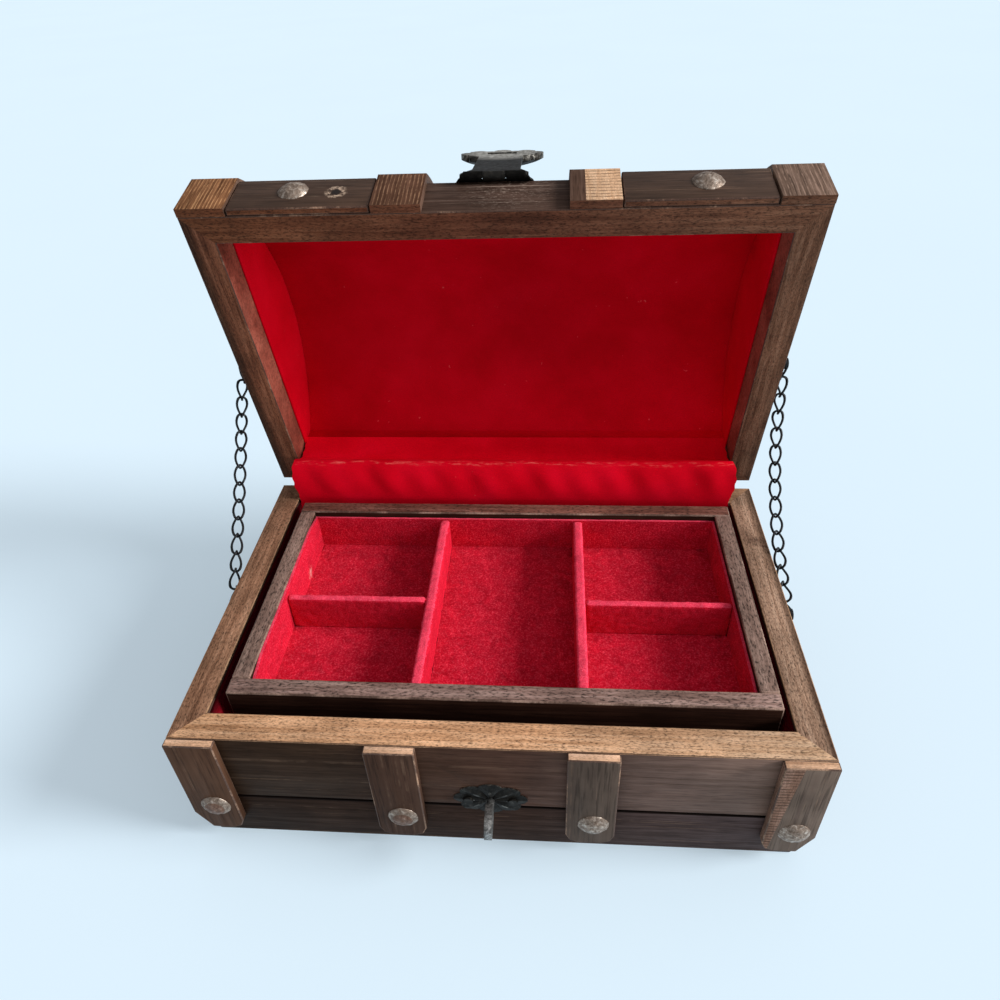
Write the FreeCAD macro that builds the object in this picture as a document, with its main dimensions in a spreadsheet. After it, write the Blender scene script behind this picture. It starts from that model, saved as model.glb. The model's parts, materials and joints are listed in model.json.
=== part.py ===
"""Chest-shaped wooden jewellery box: boarded body, domed lid held by two chains, lift-out tray.

The frame has +X to the right, +Y to the back and +Z up, with its origin on the table under the middle
of the body. The lid is built closed and then turned open about its hinge, so its pieces are written
where they lie on the closed box.
"""
import FreeCAD, Part
import math
import os
import re

import Sketcher
from FreeCAD import Placement, Rotation, Vector

doc = FreeCAD.newDocument("jewellery_chest")

# Driving sizes, in millimetres and degrees
SIZES = (
    ("box_width", 230.0, "length of the front and back boards"),
    ("box_depth", 146.0, "depth over the boards, without straps"),
    ("body_height", 59.5, "table to the body's rim"),
    ("wall", 11.0, "thickness of the boards"),
    ("bottom_board", 6.0, "thickness of the bottom board"),
    ("bevel_rise", 10.0, "height of the bevel under each end"),
    ("bevel_run", 5.0, "width of the bevel under each end"),
    ("glue_line", 0.05, "room between glued curved pieces"),
    ("overrun", 3.0, "how far a cutting solid runs past what it cuts"),
    ("groove_height", 23.6, "table to the line between two planks"),
    ("groove_width", 1.0, "width of the line between two planks"),
    ("groove_depth", 1.4, "depth of the line between two planks"),
    ("felt", 1.0, "thickness of the flocked lining"),
    ("lid_open", 77.0, "angle of the open lid from closed"),
    ("lid_gap", 0.4, "gap between the closed rims"),
    ("lid_wall", 20.0, "height of the lid's front and back rails"),
    ("lid_rise", 36.0, "height of the dome above the rails"),
    ("slat_thickness", 7.0, "thickness of the dome's slats"),
    ("slat_gap", 0.5, "gap between the dome's slats"),
    ("lid_bare_band", 12.5, "bare wood between the lid's rim and its lining"),
    ("strap_width", 18.0, "width of the straps"),
    ("strap_thickness", 3.3, "thickness of the straps"),
    ("strap_foot", 7.0, "gap under the straps"),
    ("strap_round", 5.0, "radius of the straps' lower corners"),
    ("strap_back_gap", 4.0, "room between the straps and the rims at the back"),
    ("middle_strap_place", 35.0, "middle of the box to the middle straps"),
    ("strip_start", 0.3, "lid's rim to the front strips"),
    ("strip_thickness", 2.7, "thickness of the lid's front strips"),
    ("strip_room", 0.5, "gap between a front strip and a strap"),
    ("strip_nail_place", 3.5, "middles of the front strips out to their nails"),
    ("strip_nail_lift", 1.8, "middle of the lid's wall up to the nails in the front strips"),
    ("nail_radius", 5.7, "radius of the nails' domed heads"),
    ("nail_rise", 2.4, "height of the nails' domed heads"),
    ("nail_shank", 1.1, "radius of the nails' shanks"),
    ("nail_length", 9.0, "length of the nails' shanks"),
    ("nail_height", 20.0, "table to the nails in the body's straps"),
    ("nail_shift", 1.0, "how far the front nails lie right of the straps' middles"),
    ("first_nail_lift", 2.4, "how much higher the left corner's front nail lies"),
    ("hinge_offset", 2.6, "back of the boards to the hinge axis"),
    ("hinge_length", 30.0, "length of each hinge"),
    ("hinge_leaf_height", 12.0, "height of each hinge leaf"),
    ("hinge_leaf", 1.0, "thickness of the hinge leaves"),
    ("knuckle_radius", 2.2, "outside radius of the hinge knuckles"),
    ("hinge_pin_radius", 1.0, "radius of the hinge pins"),
    ("pin_room", 0.05, "radial running room of the pins"),
    ("knuckle_room", 0.3, "room beside and around the knuckles"),
    ("screw_radius", 1.9, "radius of the small screws' heads"),
    ("screw_rise", 0.8, "height of the small screws' heads"),
    ("screw_shank", 0.8, "radius of the small screws' shanks"),
    ("screw_length", 6.0, "length of the small screws' shanks"),
    ("tray_end_room", 3.0, "room between each end of a centred tray and the body's felt"),
    ("tray_side_room", 5.5, "room between the tray and the body's felt at the front and back"),
    ("tray_height", 24.0, "height of the tray's rails"),
    ("tray_stand", 3.0, "how far the tray stands above the body's rim"),
    ("tray_shift", 1.2, "how far the loose tray lies to the right"),
    ("tray_rail", 7.0, "thickness of the tray's rails"),
    ("tray_floor", 3.0, "thickness of the tray's floor"),
    ("divider_thickness", 4.4, "thickness of the long dividers"),
    ("divider_place", 30.9, "middle of the tray to the long dividers"),
    ("divider_drop", 3.0, "top of the rails to the top of the dividers"),
    ("cross_thickness", 3.2, "thickness of the cross dividers"),
    ("cross_place", 3.6, "how far the cross dividers lie before the middle of the tray"),
    ("rest_width", 9.0, "width of the strips that carry the tray"),
    ("rest_height", 8.0, "height of the strips that carry the tray"),
    ("latch_place", 1.3, "how far the latch lies left of the middle"),
    ("latch_height", 29.3, "table to the axis of the turn button"),
    ("latch_plate", 1.0, "thickness of the latch's plates"),
    ("latch_half_width", 13.5, "middle of a latch plate to the tip of its side lobes"),
    ("latch_half_height", 9.0, "middle of a latch plate to the tip of its upper lobes"),
    ("latch_lobe", 3.3, "radius of the lobes round a latch plate"),
    ("latch_screw_place", 8.2, "axis of the turn button to the plate's screws"),
    ("button_stem", 1.5, "radius of the turn button's stem"),
    ("button_seat", 6.0, "depth of the stem's bore in the front board"),
    ("button_neck", 5.0, "front board to the turn button's head"),
    ("button_head_length", 10.0, "length of the turn button's head"),
    ("button_head_width", 9.6, "height of the turn button's head"),
    ("button_head_thickness", 2.6, "thickness of the turn button's head"),
    ("button_room", 0.8, "room around the head in the hasp's slot"),
    ("hasp_axis_offset", 2.4, "front of the boards to the hasp's pin"),
    ("hasp_fold", 199.0, "turn of the hasp from hanging to folded back"),
    ("hasp_half_width", 16.0, "middle of the hasp to the tip of its side lobes"),
    ("hasp_thickness", 1.2, "thickness of the hasp"),
    ("hasp_waist", 9.0, "half the width of the hasp's waist"),
    ("hasp_knuckle", 1.7, "outside radius of the hasp's knuckles"),
    ("hasp_pin_radius", 0.8, "radius of the hasp's pin"),
    ("hasp_base_half_width", 12.5, "half the width of the hasp's fixed plate"),
    ("hasp_base_length", 11.0, "length of the hasp's fixed plate"),
    ("hasp_shoulder", 3.0, "hasp's pin to the end of its wide shoulder"),
    ("hasp_taper", 8.0, "length of the taper from the shoulder to the waist"),
    ("chain_wire", 1.2, "wire diameter of the chain"),
    ("chain_link_inside", 7.9, "inside length of a link"),
    ("chain_link_width", 5.6, "outside width of a link"),
    ("chain_play", 0.25, "play between neighbouring links"),
    ("chain_end_stand", 2.4, "end board to the middle of the end links"),
    ("chain_stand", 3.5, "end board to the middle of the other links"),
    ("chain_pin_radius", 0.9, "radius of the chain's pins"),
    ("chain_pin_head", 2.4, "radius of the heads of the chain's pins"),
    ("chain_pin_rim", 10.0, "rim to each chain pin"),
    ("chain_pin_body_reach", 74.6, "hinge axis forward to the body's chain pins"),
    ("chain_pin_lid_reach", 68.6, "hinge axis forward to the lid's chain pins"),
    ("cloth_thickness", 1.2, "thickness of the hinge cloth"),
    ("cloth_end_room", 1.0, "gap between the hinge cloth and the end boards"),
    ("cloth_tuck", 9.0, "length of the cloth glued to the walls"),
    ("cloth_crest_rise", 18.5, "body's rim to the crest of the cloth's fold"),
    ("cloth_crest_back", 4.4, "inside of the back wall to the crest of the cloth's fold"),
    ("cloth_fold_radius", 1.8, "radius of the cloth's crest"),
)
# Links in each run that moves as one, from the body's pin up to the lid's pin
RUN_LINK_COUNT = {
    "left": (("body_run", 5), ("low_link", 1), ("high_link", 1), ("lid_run", 7)),
    "right": (("body_run", 5), ("low_link", 1), ("high_link", 1), ("middle_run", 3), ("lid_run", 5)),
}
SLAT_COUNT = 5
LATCH_LOBE_COUNT = 8

sheet = doc.addObject("Spreadsheet::Sheet", "Sizes")
for row, (alias, size, note) in enumerate(SIZES, start=1):
    sheet.set("A%d" % row, note)
    sheet.set("B%d" % row, str(size))
    sheet.setAlias("B%d" % row, alias)
doc.recompute()
ALIASES = {alias for alias, size, note in SIZES}
dim = {alias: float(sheet.get(alias)) for alias in ALIASES}

# Places that several pieces share, as formulas of the sheet
HALF_WIDTH = "(box_width / 2)"
HALF_DEPTH = "(box_depth / 2)"
INNER_X = "(box_width / 2 - wall)"
INNER_Y = "(box_depth / 2 - wall)"
LID_RIM = "(body_height + lid_gap)"
LID_EAVES = "(body_height + lid_gap + lid_wall)"
AXIS_Y = "(box_depth / 2 + hinge_offset)"
AXIS_Z = "(body_height + lid_gap / 2)"
DOME_RADIUS = "(((box_depth / 2)^2 + lid_rise^2) / (2 * lid_rise))"
DOME_Z = "(%s + lid_rise - %s)" % (LID_EAVES, DOME_RADIUS)
SLAT_INSIDE = "(%s - slat_thickness)" % DOME_RADIUS
CORNER_STRAP = "(box_width / 2 - strap_width / 2)"
TRAY_WIDTH = "(2 * (%s - felt - tray_end_room))" % INNER_X
TRAY_DEPTH = "(2 * (%s - felt - tray_side_room))" % INNER_Y
TRAY_TOP = "(body_height + tray_stand)"
TRAY_BOTTOM = "(body_height + tray_stand - tray_height)"
HASP_Y = "(-box_depth / 2 - hasp_axis_offset)"
PIN_REACH = "(%s + glue_line + hasp_knuckle)" % DOME_RADIUS
HASP_Z = "(%s + sqrt(%s^2 - (box_depth / 2 + hasp_axis_offset)^2))" % (DOME_Z, PIN_REACH)

nodes = []


def formula(text):
    """A formula in the sheet's words, with the sheet's name put before each of them."""
    return re.sub(r"[a-z][a-z_]*",
                  lambda m: "Sizes." + m.group(0) if m.group(0) in ALIASES else m.group(0), text)


def bind(obj, formulas):
    for prop, text in formulas.items():
        obj.setExpression(prop, formula(text))


def place(obj, at):
    bind(obj, dict(zip(("Placement.Base.x", "Placement.Base.y", "Placement.Base.z"), at)))


def box(name, size, at):
    obj = doc.addObject("Part::Box", name)
    bind(obj, dict(zip(("Length", "Width", "Height"), size)))
    place(obj, at)
    return obj


def mid_box(name, size, middle):
    """A box given by its middle in X and Y and its lowest Z."""
    x, y, z = middle
    return box(name, size, ("%s - (%s) / 2" % (x, size[0]), "%s - (%s) / 2" % (y, size[1]), z))


def rod(name, radius, length, at, axis):
    """A cylinder from a point along +X or -Y."""
    obj = doc.addObject("Part::Cylinder", name)
    turned = {"x": Rotation(Vector(0, 1, 0), 90), "-y": Rotation(Vector(1, 0, 0), 90),
              "-x": Rotation(Vector(0, 1, 0), -90)}
    if axis in turned:
        obj.Placement = Placement(Vector(), turned[axis])
    bind(obj, {"Radius": radius, "Height": length})
    place(obj, at)
    return obj


def boolean(kind, name, base, tool):
    obj = doc.addObject("Part::" + kind, name)
    obj.Base = base
    obj.Tool = tool
    return obj


def cut(name, base, *tools):
    for index, tool in enumerate(tools):
        base = boolean("Cut", "%s_cut_%d" % (name, index), base, tool)
    return base


def common(name, base, tool):
    return boolean("Common", name, base, tool)


def fuse(name, pieces):
    obj = doc.addObject("Part::MultiFuse", name)
    obj.Shapes = pieces
    return obj


def pad(name, plane, points, length, offset):
    """A body padded from a polygon; points are pairs of formulas, offset lies along the plane's normal."""
    body = doc.addObject("PartDesign::Body", name)
    origin = next(f for f in body.Origin.OriginFeatures if f.Role == plane)
    sketch = body.newObject("Sketcher::SketchObject", name + "_outline")
    sketch.AttachmentSupport = (origin, [""])
    sketch.MapMode = "FlatFace"
    bind(sketch, {"AttachmentOffset.Base.z": offset})
    count = len(points)
    ring = [Vector(dim["wall"] * math.cos(math.tau * i / count),
                   dim["wall"] * math.sin(math.tau * i / count), 0)
            for i in range(count)]
    for i in range(count):
        sketch.addGeometry(Part.LineSegment(ring[i], ring[(i + 1) % count]))
    for i in range(count):
        sketch.addConstraint(Sketcher.Constraint("Coincident", i, 2, (i + 1) % count, 1))
    for i, pair in enumerate(points):
        for kind, axis, text in (("DistanceX", -2, pair[0]), ("DistanceY", -1, pair[1])):
            if text == "0":
                sketch.addConstraint(Sketcher.Constraint("PointOnObject", i, 1, axis))
                continue
            index = sketch.addConstraint(Sketcher.Constraint(kind, -1, 1, i, 1, dim["wall"]))
            bind(sketch, {"Constraints[%d]" % index: text})
    feature = body.newObject("PartDesign::Pad", name + "_pad")
    feature.Profile = sketch
    bind(feature, {"Length": length})
    return body


def node(name, pieces):
    """One named sub-part, which holds its solids."""
    obj = doc.addObject("Part::Compound", name)
    obj.Links = pieces
    obj.Label = name
    nodes.append(obj)
    return obj


def turned_open(obj, y, z, angle):
    """Turns a node about an X axis through y, z, by a formula's angle, as an opening lid turns."""
    obj.Placement = Placement(Vector(), Rotation(Vector(-1, 0, 0), 1))
    bind(obj, {
        "Placement.Rotation.Angle": angle,
        "Placement.Base.y": "%s - (%s * cos(%s) + %s * sin(%s))" % (y, y, angle, z, angle),
        "Placement.Base.z": "%s - (%s * cos(%s) - %s * sin(%s))" % (z, z, angle, y, angle),
    })
    return obj


def lid_node(name, pieces):
    return turned_open(node(name, pieces), AXIS_Y, AXIS_Z, "lid_open")


def shape_node(name, shape):
    """A sub-part whose shape is made with Part's own functions."""
    obj = doc.addObject("Part::Feature", name)
    obj.Shape = shape
    obj.Label = name
    nodes.append(obj)
    return obj


def dome_cylinder(name, radius, half_length):
    """A cylinder about the dome's axis, along the box."""
    return rod(name, radius, "2 * (%s)" % half_length, ("-(%s)" % half_length, "0", DOME_Z), "x")


def opened(y, z):
    """Where a point of the closed lid lies when the lid is open."""
    axis_y = dim["box_depth"] / 2 + dim["hinge_offset"]
    axis_z = dim["body_height"] + dim["lid_gap"] / 2
    angle = math.radians(dim["lid_open"])
    dy, dz = y - axis_y, z - axis_z
    return (axis_y + dy * math.cos(angle) + dz * math.sin(angle),
            axis_z - dy * math.sin(angle) + dz * math.cos(angle))


def screw(name, x, y, z, axis):
    """A small round-headed screw whose head lies on the point and points along the axis."""
    head = rod(name + "_head", "screw_radius", "screw_rise", (x, y, z), axis if axis != "y" else "-y")
    shank = rod(name + "_shank", "screw_shank", "screw_length + screw_rise / 2", (x, y, z),
                axis if axis != "y" else "-y")
    if axis == "-y":
        place(shank, (x, "%s + screw_length" % y, z))
    if axis == "y":
        place(head, (x, "%s + screw_rise" % y, z))
        place(shank, (x, "%s + screw_rise / 2" % y, z))
    return fuse(name, [head, shank])


def nail(name, x, face, z, axis):
    """A dome-headed nail; its head lies on the face at y = face and points along -Y or +Y."""
    ball = "((nail_radius^2 + nail_rise^2) / (2 * nail_rise))"
    head = doc.addObject("Part::Sphere", name + "_head")
    back = axis == "y"
    head.Placement = Placement(Vector(), Rotation(Vector(1, 0, 0), -90 if back else 90))
    bind(head, {"Radius": ball, "Angle1": "asin((%s - nail_rise) / %s)" % (ball, ball)})
    place(head, (x, "%s %s (%s - nail_rise)" % (face, "-" if back else "+", ball), z))
    start = "%s + nail_rise / 2" % face if back else "%s + nail_length" % face
    shank = rod(name + "_shank", "nail_shank", "nail_length + nail_rise / 2", (x, start, z), "-y")
    return fuse(name, [head, shank])


# Body: four boards, a bottom, the lining and the strips that carry the tray
FRONT_OUTLINE = (
    ("-%s" % HALF_WIDTH, "body_height"), ("-%s" % HALF_WIDTH, "bevel_rise"),
    ("-%s + bevel_run" % HALF_WIDTH, "0"),
    ("%s - bevel_run" % HALF_WIDTH, "0"), (HALF_WIDTH, "bevel_rise"), (HALF_WIDTH, "body_height"),
)


def groove(name, y):
    """The line between two planks, cut into the face at y."""
    return mid_box(name, ("box_width + 2 * overrun", "2 * groove_depth", "groove_width"),
                   ("0", y, "groove_height"))


front_board = pad("front_board", "XZ_Plane", FRONT_OUTLINE, "wall", "%s - wall" % HALF_DEPTH)
button_bore = rod("button_bore", "button_stem + pin_room", "button_seat + overrun",
                  ("-latch_place", "-%s + button_seat" % HALF_DEPTH, "latch_height"), "-y")
node("body_front",
     [cut("body_front_cut", front_board, groove("front_groove", "-%s" % HALF_DEPTH), button_bore)])
back_board = pad("back_board", "XZ_Plane", FRONT_OUTLINE, "wall", "-%s" % HALF_DEPTH)
node("body_back", [cut("body_back_cut", back_board, groove("back_groove", HALF_DEPTH))])

for side, sign in (("left", "-"), ("right", "")):
    outer = sign + HALF_WIDTH
    inner = sign + INNER_X
    bevel = "%s %s bevel_run" % (outer, "+" if sign else "-")
    end_board = pad("%s_end_board" % side, "XZ_Plane",
                    ((inner, "body_height"), (inner, "0"), (bevel, "0"), (outer, "bevel_rise"),
                     (outer, "body_height")),
                    "2 * %s" % INNER_Y, "-%s" % INNER_Y)
    end_groove = mid_box("%s_end_groove" % side,
                         ("2 * groove_depth", "2 * %s + 2 * overrun" % INNER_Y, "groove_width"),
                         (outer, "0", "groove_height"))
    node("body_%s_end" % side, [cut("body_%s_end_cut" % side, end_board, end_groove)])

node("body_bottom",
     [mid_box("bottom", ("2 * %s" % INNER_X, "2 * %s" % INNER_Y, "bottom_board"), ("0", "0", "0"))])
node("body_floor_felt",
     [mid_box("floor_felt", ("2 * (%s - felt)" % INNER_X, "2 * (%s - felt)" % INNER_Y, "felt"),
                                 ("0", "0", "bottom_board"))])
FELT_HEIGHT = "body_height - bottom_board - 2 * felt"
wall_felt_outside = mid_box("wall_felt_outside", ("2 * %s" % INNER_X, "2 * %s" % INNER_Y, FELT_HEIGHT),
                            ("0", "0", "bottom_board"))
wall_felt_inside = mid_box("wall_felt_inside",
                           ("2 * (%s - felt)" % INNER_X, "2 * (%s - felt)" % INNER_Y,
                            "%s + 2 * overrun" % FELT_HEIGHT),
                           ("0", "0", "bottom_board - overrun"))
node("body_wall_felt", [cut("wall_felt", wall_felt_outside, wall_felt_inside)])
for side, sign in (("left", "-"), ("right", "")):
    node("tray_rest_%s" % side,
         [mid_box("rest_%s" % side, ("rest_width", "2 * (%s - felt)" % INNER_Y, "rest_height"),
                                         ("%s(%s - felt - rest_width / 2)" % (sign, INNER_X), "0",
                                          "%s - rest_height" % TRAY_BOTTOM))])

# Straps on the front and back of the body, with rounded lower corners


def body_strap(name, middle, corner, front):
    """A strap on the front or back board; corner is the side of a corner strap's bevel, or zero."""
    low = "strap_foot"
    high = "body_height" if front else "body_height - strap_back_gap"
    left = "%s - strap_width / 2" % middle
    right = "%s + strap_width / 2" % middle
    step = "strap_round * (1 - cos(45))"
    points = [(left, high)]
    if corner < 0:
        points += [(left, "%s + bevel_rise" % low), ("%s + bevel_run" % left, low)]
    else:
        points += [(left, "%s + strap_round" % low), ("%s + %s" % (left, step), "%s + %s" % (low, step)),
                   ("%s + strap_round" % left, low)]
    if corner > 0:
        points += [("%s - bevel_run" % right, low), (right, "%s + bevel_rise" % low)]
    else:
        points += [("%s - strap_round" % right, low),
                   ("%s - %s" % (right, step), "%s + %s" % (low, step)),
                   (right, "%s + strap_round" % low)]
    points += [(right, high)]
    offset = HALF_DEPTH if front else "-%s - strap_thickness" % HALF_DEPTH
    return pad(name, "XZ_Plane", points, "strap_thickness", offset)


def strap_places():
    """Names and middles of the four straps, with the side of the corner straps' outer edge."""
    yield "left_corner", "-%s" % CORNER_STRAP, -1
    yield "left_middle", "-middle_strap_place", 0
    yield "right_middle", "middle_strap_place", 0
    yield "right_corner", CORNER_STRAP, 1


body_straps = {"corner": [], "middle": []}
body_nails = []
for strap, middle, corner in strap_places():
    for face in ("front", "back"):
        front = face == "front"
        kind = strap.split("_")[1]
        body_straps[kind].append(body_strap("%s_%s_strap" % (strap, face), middle, corner, front))
        outer_face = "%s(%s + strap_thickness)" % ("-" if front else "", HALF_DEPTH)
        across = "%s + nail_shift" % middle if front else middle
        height = "nail_height + first_nail_lift" if front and strap == "left_corner" else "nail_height"
        body_nails.append(nail("%s_%s_nail" % (strap, face), across, outer_face, height,
                               "-y" if front else "y"))
node("body_corner_straps", body_straps["corner"])
node("body_middle_straps", body_straps["middle"])
node("body_nails", body_nails)

# Lid: two rails, two arched ends, a dome of slats, straps, strips and nails
lid_node("lid_front_rail",
         [mid_box("front_rail", ("box_width", "wall", "lid_wall"),
                  ("0", "-%s + wall / 2" % HALF_DEPTH, LID_RIM))])
lid_node("lid_back_rail",
         [mid_box("back_rail", ("box_width", "wall", "lid_wall"),
                  ("0", "%s - wall / 2" % HALF_DEPTH, LID_RIM))])
for side, sign in (("left", "-"), ("right", "")):
    blank = mid_box("%s_arch_blank" % side, ("wall", "2 * %s" % INNER_Y, "lid_wall + lid_rise"),
                    ("%s(%s - wall / 2)" % (sign, HALF_WIDTH), "0", LID_RIM))
    arch = dome_cylinder("%s_arch" % side, "%s - glue_line" % SLAT_INSIDE, "%s + overrun" % HALF_WIDTH)
    lid_node("lid_%s_end" % side, [common("%s_arched_end" % side, blank, arch)])


def ring(name, inside, outside, half_length, low, half_depth):
    """A length of tube about the dome's axis, kept above a height and inside a depth."""
    tube = cut(name + "_tube", dome_cylinder(name + "_outside", outside, half_length),
               dome_cylinder(name + "_inside", inside, "%s + overrun" % half_length))
    keep = mid_box(name + "_keep",
                   ("2 * (%s) + 2 * overrun" % half_length, "2 * %s" % half_depth,
                    "2 * %s" % DOME_RADIUS),
                   ("0", "0", low))
    return common(name, tube, keep)


dome = ring("dome", SLAT_INSIDE, DOME_RADIUS, HALF_WIDTH, LID_EAVES, HALF_DEPTH)
SPAN = "(2 * asin(%s / %s))" % (HALF_DEPTH, DOME_RADIUS)
gaps = []
for index in range(1, SLAT_COUNT):
    blade = mid_box("slat_gap_%d" % index,
                    ("box_width + 2 * overrun", "slat_gap", "%s + overrun" % DOME_RADIUS),
                    ("0", "0", DOME_Z))
    angle = "%s * %r" % (SPAN, index / SLAT_COUNT - 0.5)
    holder = doc.addObject("Part::Compound", "slat_gap_turned_%d" % index)
    holder.Links = [blade]
    turned_open(holder, "0", DOME_Z, angle)
    gaps.append(holder)
lid_node("lid_slats", [cut("slats", dome, *gaps)])


def lid_strap(name, middle):
    """A strap up the front rail, over the dome and down the back rail."""
    over = ring(name + "_over", "%s + glue_line" % DOME_RADIUS, "%s + strap_thickness" % DOME_RADIUS,
                "strap_width / 2",
                LID_EAVES, "(%s + strap_thickness)" % HALF_DEPTH)
    place_of_strap = doc.addObject("Part::Compound", name + "_over_placed")
    place_of_strap.Links = [over]
    place(place_of_strap, (middle, "0", "0"))
    front = mid_box(name + "_front", ("strap_width", "strap_thickness", "lid_wall"),
                    (middle, "-%s - strap_thickness / 2" % HALF_DEPTH, LID_RIM))
    back = mid_box(name + "_back", ("strap_width", "strap_thickness", "lid_wall - strap_back_gap"),
                   (middle, "%s + strap_thickness / 2" % HALF_DEPTH, "%s + strap_back_gap" % LID_RIM))
    return fuse(name, [place_of_strap, front, back])


lid_straps = {"corner": [], "middle": []}
for strap, middle, corner in strap_places():
    lid_straps[strap.split("_")[1]].append(lid_strap("lid_%s_strap" % strap, middle))
lid_node("lid_corner_straps", lid_straps["corner"])
lid_node("lid_middle_straps", lid_straps["middle"])

STRIP_IN = "(middle_strap_place + strap_width / 2 + strip_room)"
STRIP_OUT = "(box_width / 2 - strap_width - strip_room)"
strip_nails = []
for side, sign in (("left", "-"), ("right", "")):
    strip = mid_box("%s_strip" % side,
                    ("%s - %s" % (STRIP_OUT, STRIP_IN), "strip_thickness", "lid_wall - strip_start"),
                    ("%s(%s + %s) / 2" % (sign, STRIP_OUT, STRIP_IN),
                     "-%s - strip_thickness / 2" % HALF_DEPTH, "%s + strip_start" % LID_RIM))
    lid_node("lid_%s_strip" % side, [strip])
    strip_nails.append(nail("%s_strip_nail" % side,
                            "%s((%s + %s) / 2 + strip_nail_place)" % (sign, STRIP_OUT, STRIP_IN),
                            "-(%s + strip_thickness)" % HALF_DEPTH,
                            "%s + lid_wall / 2 + strip_nail_lift" % LID_RIM, "-y"))
lid_node("lid_nails", strip_nails)

# Lining of the lid: an arched sheet under the slats and a panel on each end
FELT_LOW = "(%s + lid_bare_band)" % LID_RIM


def arch_block(name, radius, half_width, half_depth, low):
    """A solid under the dome: a box cut to the dome's curve."""
    blank = mid_box(name + "_blank",
                    ("2 * (%s)" % half_width, "2 * (%s)" % half_depth, "2 * lid_rise + lid_wall"),
                    ("0", "0", low))
    return common(name, blank, dome_cylinder(name + "_curve", radius, "%s + overrun" % HALF_WIDTH))


felt_outside = arch_block("barrel_felt_outside", "%s - glue_line" % SLAT_INSIDE,
                          "%s - glue_line" % INNER_X,
                          "%s - glue_line" % INNER_Y, FELT_LOW)
felt_inside = arch_block("barrel_felt_inside", "%s - felt" % SLAT_INSIDE, "%s + overrun" % INNER_X,
                         "%s - felt" % INNER_Y, "%s - overrun" % FELT_LOW)
lid_node("lid_barrel_felt", [cut("barrel_felt", felt_outside, felt_inside)])
for side, sign in (("left", "-"), ("right", "")):
    panel = mid_box("%s_felt_blank" % side,
                    ("felt", "2 * (%s - felt - glue_line)" % INNER_Y, "2 * lid_rise + lid_wall"),
                    ("%s(%s - felt / 2 - glue_line)" % (sign, INNER_X), "0", FELT_LOW))
    curve = dome_cylinder("%s_felt_curve" % side, "%s - felt - glue_line" % SLAT_INSIDE,
                          "%s + overrun" % HALF_WIDTH)
    lid_node("lid_%s_end_felt" % side, [common("%s_end_felt" % side, panel, curve)])

# Two butt hinges on the back: leaves, knuckles, pins and screws
KNUCKLE = "(hinge_length / 3)"
# Each hinge lies midway between a corner strap and a middle strap
HINGE_PLACE = "((%s + middle_strap_place) / 2)" % CORNER_STRAP


def hinge_leaf(name, middle, on_lid):
    """One leaf: the body's has the two outer knuckles, the lid's has the middle one."""
    low = AXIS_Z if on_lid else "%s - hinge_leaf_height" % AXIS_Z
    plate = mid_box(name + "_plate", ("hinge_length", "hinge_leaf", "hinge_leaf_height"),
                    (middle, "%s + hinge_leaf / 2" % HALF_DEPTH, low))
    knuckles = []
    windows = []
    for step in (-1, 0, 1):
        mine = (step == 0) == on_lid
        length = "%s - knuckle_room" % KNUCKLE if mine else "%s + knuckle_room" % KNUCKLE
        radius = "knuckle_radius" if mine else "knuckle_radius + knuckle_room"
        start = "%s + %d * %s - (%s) / 2" % (middle, step, KNUCKLE, length)
        knuckle = rod("%s_knuckle_%d" % (name, step + 1), radius, length, (start, AXIS_Y, AXIS_Z), "x")
        (knuckles if mine else windows).append(knuckle)
    hole = rod(name + "_hole", "hinge_pin_radius + pin_room", "hinge_length + 2 * overrun",
               ("%s - hinge_length / 2 - overrun" % middle, AXIS_Y, AXIS_Z), "x")
    return cut(name, fuse(name + "_fused", [plate] + knuckles), hole, *windows)


hinge_parts = {"body": [], "lid": [], "pins": []}
screws = {"body": [], "lid": []}
for side, sign in (("left", "-"), ("right", "")):
    middle = "(%s%s)" % (sign, HINGE_PLACE)
    hinge_parts["body"].append(hinge_leaf("%s_body_leaf" % side, middle, False))
    hinge_parts["lid"].append(hinge_leaf("%s_lid_leaf" % side, middle, True))
    hinge_parts["pins"].append(rod("%s_hinge_pin" % side, "hinge_pin_radius", "hinge_length",
                                   ("%s - hinge_length / 2" % middle, AXIS_Y, AXIS_Z), "x"))
    for step in (-1, 1):
        x = "%s + %d * %s" % (middle, step, KNUCKLE)
        y = "%s + hinge_leaf" % HALF_DEPTH
        screws["body"].append(screw("%s_body_screw_%d" % (side, step + 1), x, y,
                                    "%s - hinge_leaf_height * 2 / 3" % AXIS_Z, "y"))
        screws["lid"].append(screw("%s_lid_screw_%d" % (side, step + 1), x, y,
                                   "%s + hinge_leaf_height * 2 / 3" % AXIS_Z, "y"))
node("hinge_body_leaves", hinge_parts["body"])
node("hinge_pins", hinge_parts["pins"])
lid_node("hinge_lid_leaves", hinge_parts["lid"])

# Latch: lobed plate and turn button on the body, fixed plate and folding hasp on the lid


def lobed_plate(name, x, y, z, half_width, thickness):
    """A rosette of round lobes on an oval, in front of the plane at y."""
    reach_x = "(%s - latch_lobe)" % half_width
    reach_z = "(latch_half_height - latch_lobe)"
    pieces = [mid_box(name + "_middle", ("2 * %s" % reach_x, thickness, "2 * %s" % reach_z),
                      (x, "%s - %s / 2" % (y, thickness), "%s - %s" % (z, reach_z)))]
    for index in range(LATCH_LOBE_COUNT):
        turn = "%r" % (360 * index / LATCH_LOBE_COUNT)
        at = ("%s + %s * cos(%s)" % (x, reach_x, turn), y, "%s + %s * sin(%s)" % (z, reach_z, turn))
        pieces.append(rod("%s_lobe_%d" % (name, index), "latch_lobe", thickness, at, "-y"))
    return fuse(name, pieces)


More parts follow.
